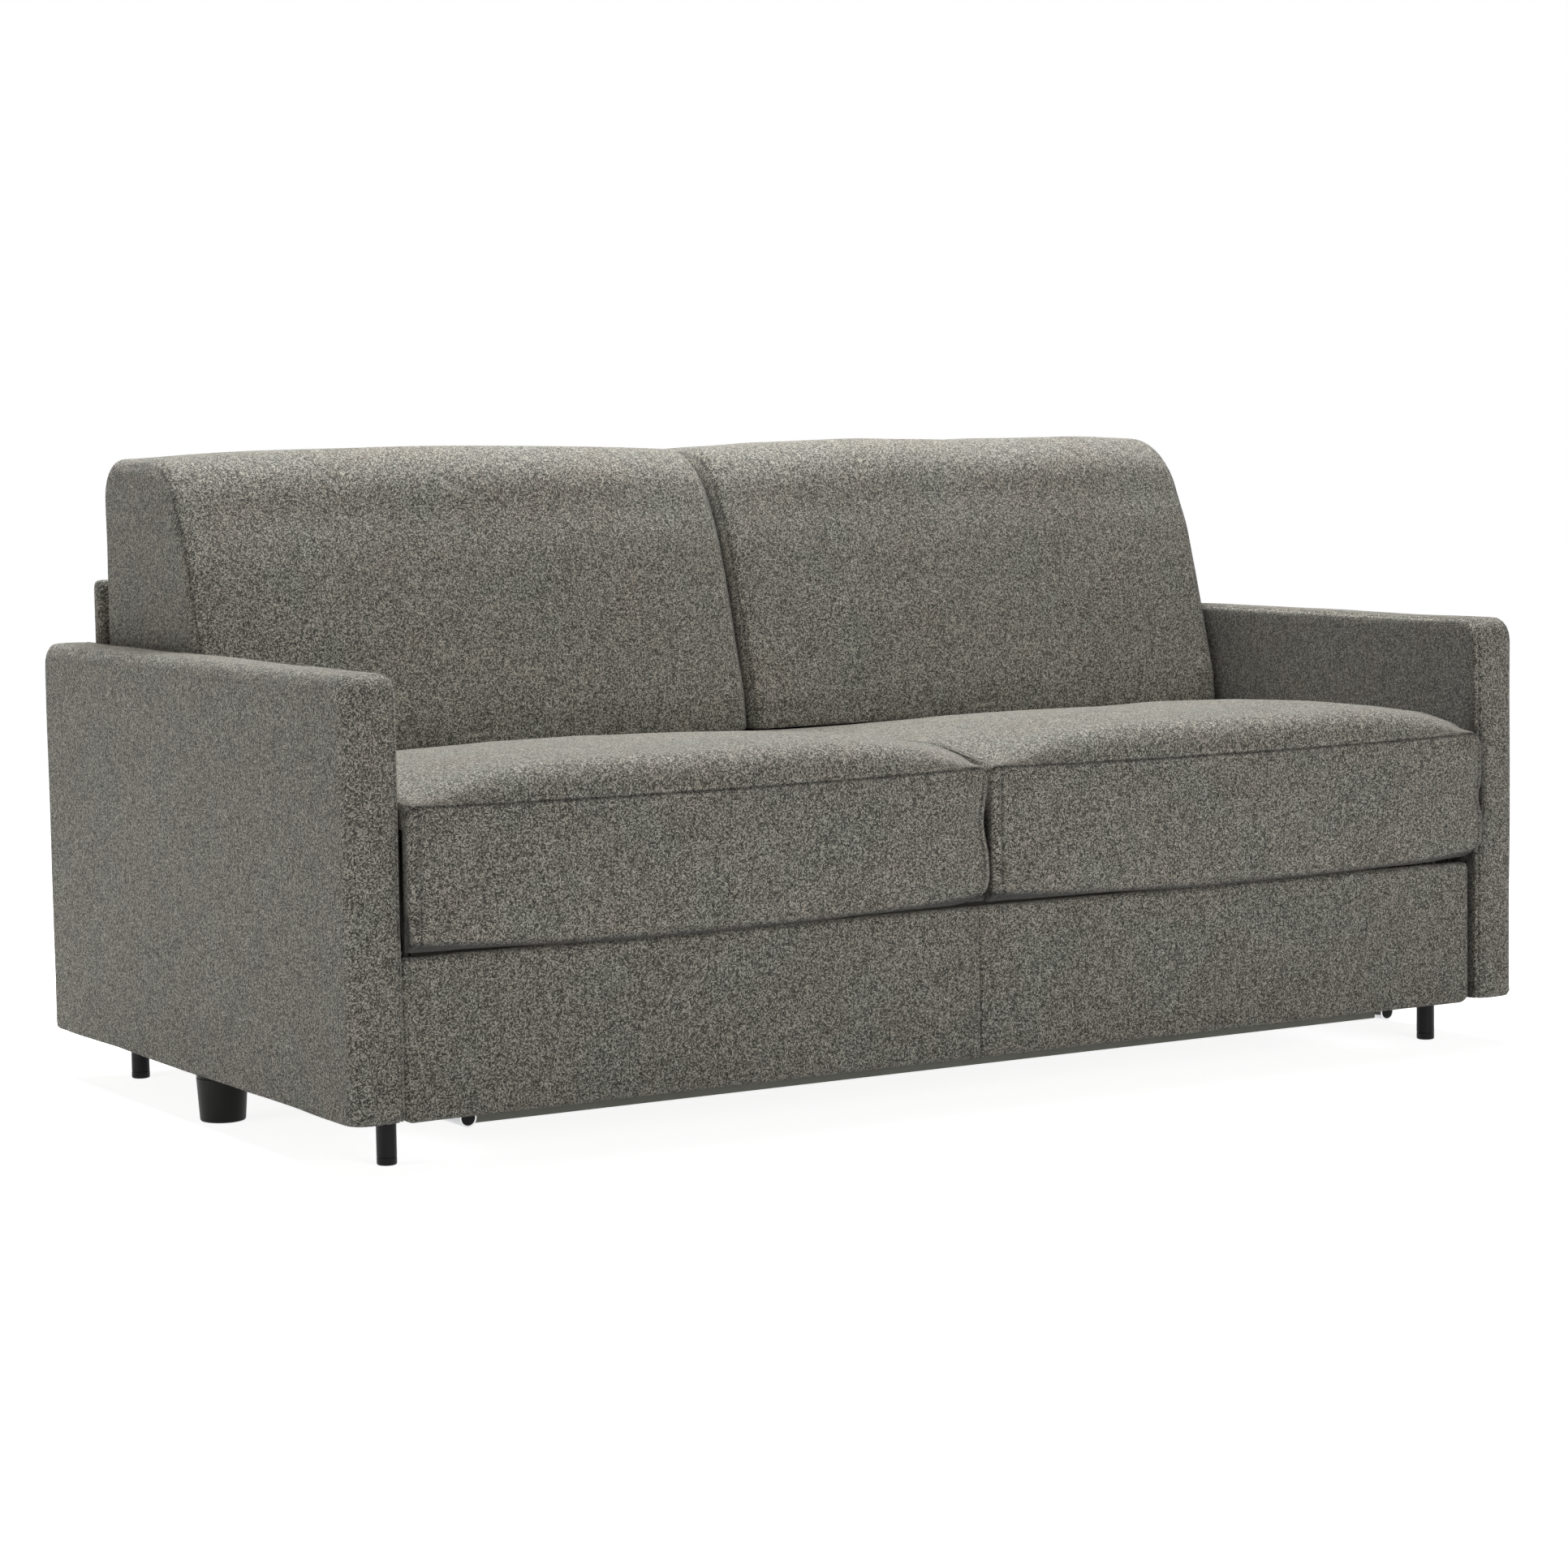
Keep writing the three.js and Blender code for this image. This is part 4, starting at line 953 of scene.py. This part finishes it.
def backCushion(name):
    # One sleeve whose front leans back from the toe to the nose and then rolls over the top. Its rear is
    # open below and holds a pocket for the deck and the mattress.
    spec = back
    corners = [(y * mm, z * mm, r * mm) for y, z, r in spec["corners"]]
    plain = roundedOutline(corners, sampling["findPoints"])
    outline = roundedOutline(corners, spec["outlinePoints"])
    side = sideOf(name)
    own = "left" if side < 0 else "right"
    x0, x1 = span(name, spec["inner"], spec["outer"])
    stations = stationsAcross(x0, x1, spec["stations"], (spec["endRadius"],) * 2)
    half, centre = (x1 - x0) / 2, (x0 + x1) / 2
    top = corners[2][1]
    nose = placeAt(plain, corners[2][0] + spec["noseFrom"][0], top - spec["noseFrom"][1])
    toe = placeAt(plain, *corners[-1][:2])

    def relief(x, s, grid):
        y, z = grid[..., 0], grid[..., 1]
        across = np.clip(1 - np.abs((x - centre) / half) ** 5, 0, 1)
        onTop = smoothStep(z, top - 0.09, top - 0.02) * smoothStep(corners[1][0] - y, 0.0, 0.1)
        share = np.clip((s - nose) / (toe - nose), 0, 1)
        belly = spec["belly"] * np.sin(math.pi * share) * across
        onFront = smoothStep(s, nose - 0.16, nose - 0.1) * smoothStep(toe - s, 0.0, 0.02)
        move = spec["crown"] * across * onTop + belly
        shade = 0.0
        # painted shade along the seams near both ends
        for end in (x0, x1):
            fromSeam = np.abs(x - end) - spec["seamIn"]
            move = move - spec["seamDip"][0] * ridge(fromSeam, spec["seamDip"][1]) * onFront
            shade = shade + spec["seamShade"][0] * ridge(fromSeam, spec["seamShade"][1]) * onFront
        slow = slowWaves(spec["seed"][own], x, s, spec["waves"], spec["waveSize"])
        for start, end in spec["creases"][own]:
            a = (centre + start[0], nose + start[1])
            b = (centre + end[0], nose + end[1])
            slow = slow + crease(x, s, a, b, spec["creaseWidth"], spec["creaseDepth"])
        slow = slow * smoothStep(z, 0.459, 0.51)  # the underside stays level over the seat
        return move + slow, np.clip(shade, 0, 0.8)
    piece = loft(name, "back_section", fabric, outline, stations, relief, None,
                 spec["endRelief"], foot=True)
    inside = span(name, -0.1, spec["pocketSide"])
    rear = spec["mattressRear"]
    below, behind = 0.4, 1.0  # a height and a depth past the piece
    cutAway(piece, [
        (*inside, spec["deckFront"], rear, below, spec["deckTop"]),
        (*inside, spec["mattressFront"], rear, below, spec["mattressTop"]),
        (*inside, spec["mattressFront"], behind, below, spec["openLow"]),
    ])
    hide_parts(("left" if side < 0 else "right") + "_back_cushion")


# Arms

arm = {
    "inner": 832 * mm, "outer": 904 * mm, "front": -483 * mm, "rear": 510 * mm,
    "low": 66 * mm, "top": 603 * mm, "lowRadius": 7 * mm, "rearRadius": 20 * mm, "frontRadius": 27 * mm,
    "innerSoft": 10 * mm, "outerSoft": 18 * mm,
    "crown": 1.5 * mm, "waves": (0.5, 0.27, 0.16, 0.09), "waveSize": 0.55 * mm,
    "swells": (0.61, 0.37, 0.22), "swellSize": 0.7 * mm, "swellShare": 0.6,
    # painted shade: in the seam, on the right arm's front beside the seat cushion and on its inner side
    "seamInset": 7 * mm, "seamDepth": 1.5 * mm, "seamWidth": 1.5 * mm, "seamShade": 0.35,
    "besideSeatShade": 0.8, "seatHeight": 360 * mm, "seatReach": 85 * mm, "innerShade": 0.55,
    "stitchGap": 4.5 * mm, "stitchLow": 14 * mm, "stitchRear": 20 * mm,
    "outlinePoints": 320, "stations": 16, "seamDetail": 4 * mm, "endRings": 26, "endRelief": 0.4 * mm,
    "seed": {"left": 12, "right": 13},
    "fill": 0.95,
}


def armPiece(name):
    # A slab whose profile is a rounded rectangle. The band that runs over its front and top is sewn to the
    # inner side panel along its inner edge. The right arm's inner side and the strip of its front beside
    # the seat cushion carry painted shade.
    spec = arm
    front, rear, low, top = spec["front"], spec["rear"], spec["low"], spec["top"]
    corners = [
        (front, low, spec["lowRadius"]),
        (rear, low, spec["lowRadius"]),
        (rear, top, spec["rearRadius"]),
        (front, top, spec["frontRadius"]),
    ]
    outline = roundedOutline(corners, spec["outlinePoints"])
    side = sideOf(name)
    x0, x1 = span(name, spec["inner"], spec["outer"])
    middle, half = (x0 + x1) / 2, (x1 - x0) / 2
    soft = (spec["innerSoft"], spec["outerSoft"])
    seam = side * (spec["inner"] + spec["seamInset"])
    radii = soft if side > 0 else soft[::-1]
    stations = stationsAcross(x0, x1, spec["stations"], radii, [(seam, spec["seamDetail"])])
    seed = spec["seed"]["left" if side < 0 else "right"]

    def relief(x, s, grid):
        y, z = grid[..., 0], grid[..., 1]
        crown = spec["crown"] * (1 - ((x - middle) / half) ** 2)
        move = crown - spec["crown"] + slowWaves(seed, x, s, spec["waves"], spec["waveSize"])
        onFront = smoothStep(front + 30 * mm - y, 0, 10 * mm)
        band = np.maximum(onFront, smoothStep(z, top - 30 * mm, top - 20 * mm))
        move = move - spec["seamDepth"] * ridge(x - seam, spec["seamWidth"]) * band
        # painted shade in the seam's groove
        shade = spec["seamShade"] * ridge(x - seam, spec["seamWidth"]) * band
        # painted shade on the right arm's inner side and on the strip of its front beside the seat cushion
        if side > 0:
            shade = shade + spec["innerShade"] * smoothStep(x0 + 3 * mm - x, 0, 2 * mm)
            beside = smoothStep(x0 + 24 * mm - x, 0, 16 * mm) * band
            shade = shade + spec["besideSeatShade"] * beside * ridge(z - spec["seatHeight"], spec["seatReach"])
        return move, np.clip(shade, 0, 0.8)

    def warp(points):
        # the broad sides swell a little in slow waves
        x, y, z = points.T.copy()
        flat = np.maximum(ridge(y - front, 0.1), ridge(z - low, 0.05))
        swell = slowWaves(seed + 5, y, z, spec["swells"], spec["swellSize"]) * (1 - flat)
        outward = smoothStep(np.abs(x - middle) / half, 0.4, 0.9) * np.sign(x - middle)
        x = x + swell * outward * spec["swellShare"]
        return np.stack([x, y, z], 1)
    # painted shade on the right arm's inner end
    endShade = (spec["innerShade"], 0.0) if side > 0 else (0.0, 0.0)
    piece = loft(name, "base", fabric, outline, stations, relief, warp, spec["endRelief"],
                 rings=spec["endRings"], foot=True, endShade=endShade)
    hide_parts("left_arm" if side < 0 else "right_arm")
    turn = np.linspace(0, math.pi / 2, 12)
    r = spec["frontRadius"]
    rise = np.linspace(low + spec["stitchLow"], top - r, 60)
    run = np.linspace(front + r, rear - spec["stitchRear"], 120)
    yz = np.concatenate([
        np.stack([np.full(len(rise), front), rise], 1),
        np.stack([front + r * (1 - np.cos(turn)), top - r + r * np.sin(turn)], 1),
        np.stack([run, np.full(len(run), top)], 1),
    ])
    x = np.full((len(yz), 1), seam + side * spec["stitchGap"])
    stitchRun(name + "Stitches", "base", np.concatenate([x, yz], 1))


# Front and rear panels

panels = {
    "halfWidth": 831.6 * mm, "thickness": 23 * mm, "edge": 8 * mm, "endRadius": 9 * mm,
    "frontPanel": {"node": "front_panel", "y": -471, "z": (60.5, 261), "seamDepth": 2.0, "seed": 21},
    "rearPanel": {"node": "rear_panel", "y": 472, "z": (70, 689), "seamDepth": 1.0, "seed": 22},
    "seamWidth": 1.8 * mm, "hollow": (0.8 * mm, 9 * mm), "seamShade": (0.5, 1.6 * mm),
    "waves": (0.6, 0.35, 0.2, 0.11), "waveSize": 0.55 * mm, "skin": 0.4 * mm,
    "tuck": 14 * mm, "tuckFrom": 20 * mm,
    "stitchGap": 5 * mm, "stitchEnd": 8 * mm,
    "outlinePoints": 150, "stations": 200, "seamDetail": 6 * mm,
    "fill": 0.95,
}


def panelPiece(name):
    # a wide padded board with one upright seam in its middle
    spec, own = panels, panels[name]
    front, rear = own["y"] * mm, own["y"] * mm + spec["thickness"]
    low, top = (z * mm for z in own["z"])
    edge = spec["edge"]
    corners = [(front, low, edge), (rear, low, edge), (rear, top, edge), (front, top, edge)]
    outline = roundedOutline(corners, spec["outlinePoints"])
    half = spec["halfWidth"]
    radii = (spec["endRadius"],) * 2
    stations = stationsAcross(-half, half, spec["stations"], radii, [(0.0, spec["seamDetail"])])

    def relief(x, s, grid):
        deep, wide = spec["hollow"]
        dip = own["seamDepth"] * mm * ridge(x, spec["seamWidth"]) + deep * ridge(x, wide)
        slow = slowWaves(own["seed"], x, s, spec["waves"], spec["waveSize"])
        # painted shade along the upright seam
        dark, wide = spec["seamShade"]
        return slow - dip - spec["skin"], dark * ridge(x, wide)

    def warp(points):
        # the lower end corners tuck in
        x, y, z = points.T.copy()
        h = np.clip(1 - (z - low) / spec["tuck"], 0, 1)
        tuck = spec["tuck"] * (1 - np.sqrt(1 - h**2)) * smoothStep(np.abs(x), half - spec["tuckFrom"], half)
        return np.stack([x - np.sign(x) * tuck, y, z], 1)
    piece = loft(name, "base", fabric, outline, stations, relief, warp, 0.0, rings=4)
    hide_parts(own["node"])
    if name == "frontPanel":
        rise = np.linspace(low + spec["stitchEnd"], top - spec["stitchEnd"], 40)
        out = np.full(len(rise), front + 0.2 * mm)
        for label, shift in (("Left", -spec["stitchGap"]), ("Right", spec["stitchGap"])):
            run = np.stack([np.full(len(rise), shift), out, rise], 1)
            stitchRun(name + label + "Stitches", "base", run)


# Cloth strips behind the gaps between two cushions, darkened with painted shade

flaps = {
    "cushionFlap": ("seat_section", 90, (-477.2, -474.5), (268, 412)),  # half width, Y and Z in mm
    "backFlap": ("back_section", 40, (450.5, 453.2), (672, 833)),
    "topFlap": ("back_section", 40, (326, 448), (832.4, 835)),
    # shade is how much painted shade darkens the strips, so that the gaps look dark
    "edge": 1 * mm, "shade": 0.7,
    "fill": 0.95,
}


def flapPiece(name):
    body, half, (front, rear), (low, top) = flaps[name]
    edge = flaps["edge"]
    corners = [(y * mm, z * mm, edge) for y, z in ((front, low), (rear, low), (rear, top), (front, top))]
    stations = stationsAcross(-half * mm, half * mm, 24, (edge, edge))

    def relief(x, s, grid):
        # no relief, and painted shade all over
        return np.zeros(grid.shape[:2]), flaps["shade"]
    piece = loft(name, body, fabric, roundedOutline(corners, 60), stations, relief, rings=3)


for name in ("cushionFlap", "backFlap", "topFlap"):
    flapPiece(name)
for side in ("left", "right"):
    seatCushion(side + "SeatCushion")
    backCushion(side + "BackCushion")
    armPiece(side + "Arm")
for name in ("frontPanel", "rearPanel"):
    panelPiece(name)
print("upholstery made")


# Mattresses

mattress = {
    "half": 780 * mm, "edge": 16 * mm, "soft": 2.5 * mm, "softShare": 0.3,
    "head_mattress": ("head_section", (-320, 370), (134.3, 255)),  # Y and Z in mm
    "seat_mattress": ("seat_section", (-474, 305), (266, 386.7)),
    "foot_mattress": ("back_section", (326.8, 447.5), (408.5, 830)),
    "quilt": 130 * mm, "quiltDepth": 2.4 * mm, "quiltWidth": 0.16, "border": 50 * mm,
    "outlinePoints": 260, "stations": 150,
    "fill": 0.85,
}


def mattressPiece(node):
    # a slab quilted in lozenges, by the lesser of two slanting waves on its two broad faces
    spec = mattress
    body, (y0, y1), (z0, z1) = spec[node]
    y0, y1, z0, z1 = y0 * mm, y1 * mm, z0 * mm, z1 * mm
    edge, half = spec["edge"], spec["half"]
    corners = [(y0, z0, edge), (y1, z0, edge), (y1, z1, edge), (y0, z1, edge)]
    outline = roundedOutline(corners, spec["outlinePoints"])
    stations = stationsAcross(-half, half, spec["stations"], (edge,) * 2)
    tall = z1 - z0 > y1 - y0
    low, high = (z0, z1) if tall else (y0, y1)

    def relief(x, s, grid):
        along = grid[..., 1 if tall else 0] - (low + high) / 2
        fromEdge = (high - low) / 2 - np.abs(along)
        broad = smoothStep(fromEdge, 0, spec["border"]) * smoothStep(half - np.abs(x), 0, spec["border"])
        a = np.sin(math.pi * (x + along) / spec["quilt"])
        b = np.sin(math.pi * (x - along) / spec["quilt"])
        line = np.minimum(np.abs(a), np.abs(b))
        dip = spec["quiltDepth"] * ridge(line, spec["quiltWidth"]) * broad
        return -dip - spec["soft"] * (1 - broad) * spec["softShare"], 0.0
    piece = loft(camel(node), body, ticking, outline, stations, relief)
    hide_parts(node)


for node in ("head_mattress", "seat_mattress", "foot_mattress"):
    mattressPiece(node)
print("mattresses made")


# Legs, feet and bright tubes

feet = {  # in mm; the legs' profiles are pairs of radius and height
    "legX": 818, "legRadius": 12.5, "legTop": 74.7, "legY": {"front": -390, "rear": 403},
    "armFoot": (858, 20), "armFootTop": 34, "armFootFloor": 29.5, "armFootHeight": 65.7,
}


def leg(node, sideSign, y):
    # a tube with a closed cap at the floor, parted from it by a fine groove
    r = feet["legRadius"]
    top = feet["legTop"]
    profile = [(0, 0), (r - 2.2, 0), (r - 0.8, 0.5), (r, 1.8), (r, 9), (r - 0.5, 9.4), (r - 0.5, 10.2),
               (r, 10.6), (r, top - 0.6), (r - 0.5, top), (0, top)]
    turned(camel(node), "base", blackTube, node,
           np.array(profile) * mm, (sideSign * feet["legX"] * mm, y * mm, 0.0), (0, 0, 1))


def armFoot(node, sideSign):
    # a cone whose side is a straight taper, with a rounded rim at the floor and a groove under its top
    a, b, h = feet["armFootFloor"], feet["armFootTop"], feet["armFootHeight"]

    def wall(z):
        return a + (b - a) * z / h
    profile = [(0, 0), (a - 3.2, 0), (a - 1.2, 0.5), (a - 0.2, 1.6), (wall(3.2), 3.2), (wall(h - 9), h - 9),
               (wall(h - 8) - 0.9, h - 8), (wall(h - 6.6) - 0.9, h - 6.6), (wall(h - 5.6), h - 5.6),
               (wall(h - 0.8), h - 0.8), (wall(h) - 0.8, h), (0, h)]
    x, y = feet["armFoot"]
    turned(camel(node), "base", footPlastic, node,
           np.array(profile) * mm, (sideSign * x * mm, y * mm, 0.0), (0, 0, 1), 72)


for side, sign in (("left", -1), ("right", 1)):
    leg(side + "_front_leg", sign, feet["legY"]["front"])
    leg(side + "_rear_leg", sign, feet["legY"]["rear"])
    armFoot(side + "_arm_foot", sign)
print("legs and feet made")


# The bed's own tubes keep their modelled shape; only the plugs in their ends are turned here.

plug = {"x": 722, "z": 51.4, "front": -422.2, "depth": 15.9, "radius": 9.2}  # in mm


def plugPiece(node, sign):
    # a stopper with a low dome and a rolled rim
    r, d = plug["radius"], plug["depth"]
    dome = [(r * math.cos(a), d - 1.6 + 1.6 * math.sin(a)) for a in np.linspace(0.25, 1.45, 7)]
    profile = [(0, 0), (r - 1.2, 0), (r, 1.2), (r, d - 1.9), *dome, (0, d)]
    turned(camel(node), "mid_legs", plugPlastic, node, np.array(profile) * mm,
           (sign * plug["x"] * mm, (plug["front"] + d) * mm, plug["z"] * mm), (0, -1, 0), 40)


plugPiece("left_mid_leg_plug", -1)
plugPiece("right_mid_leg_plug", 1)

finishes = {"mid_leg": brightTube, "foot_leg": brightTube, "turn_pin": brightTube}
for name, piece in nodes.items():
    own = finishes.get(name.split("_", 1)[-1], steel)
    piece.data.materials.clear()
    piece.data.materials.append(own)
print("finishes put on the bed's steel")
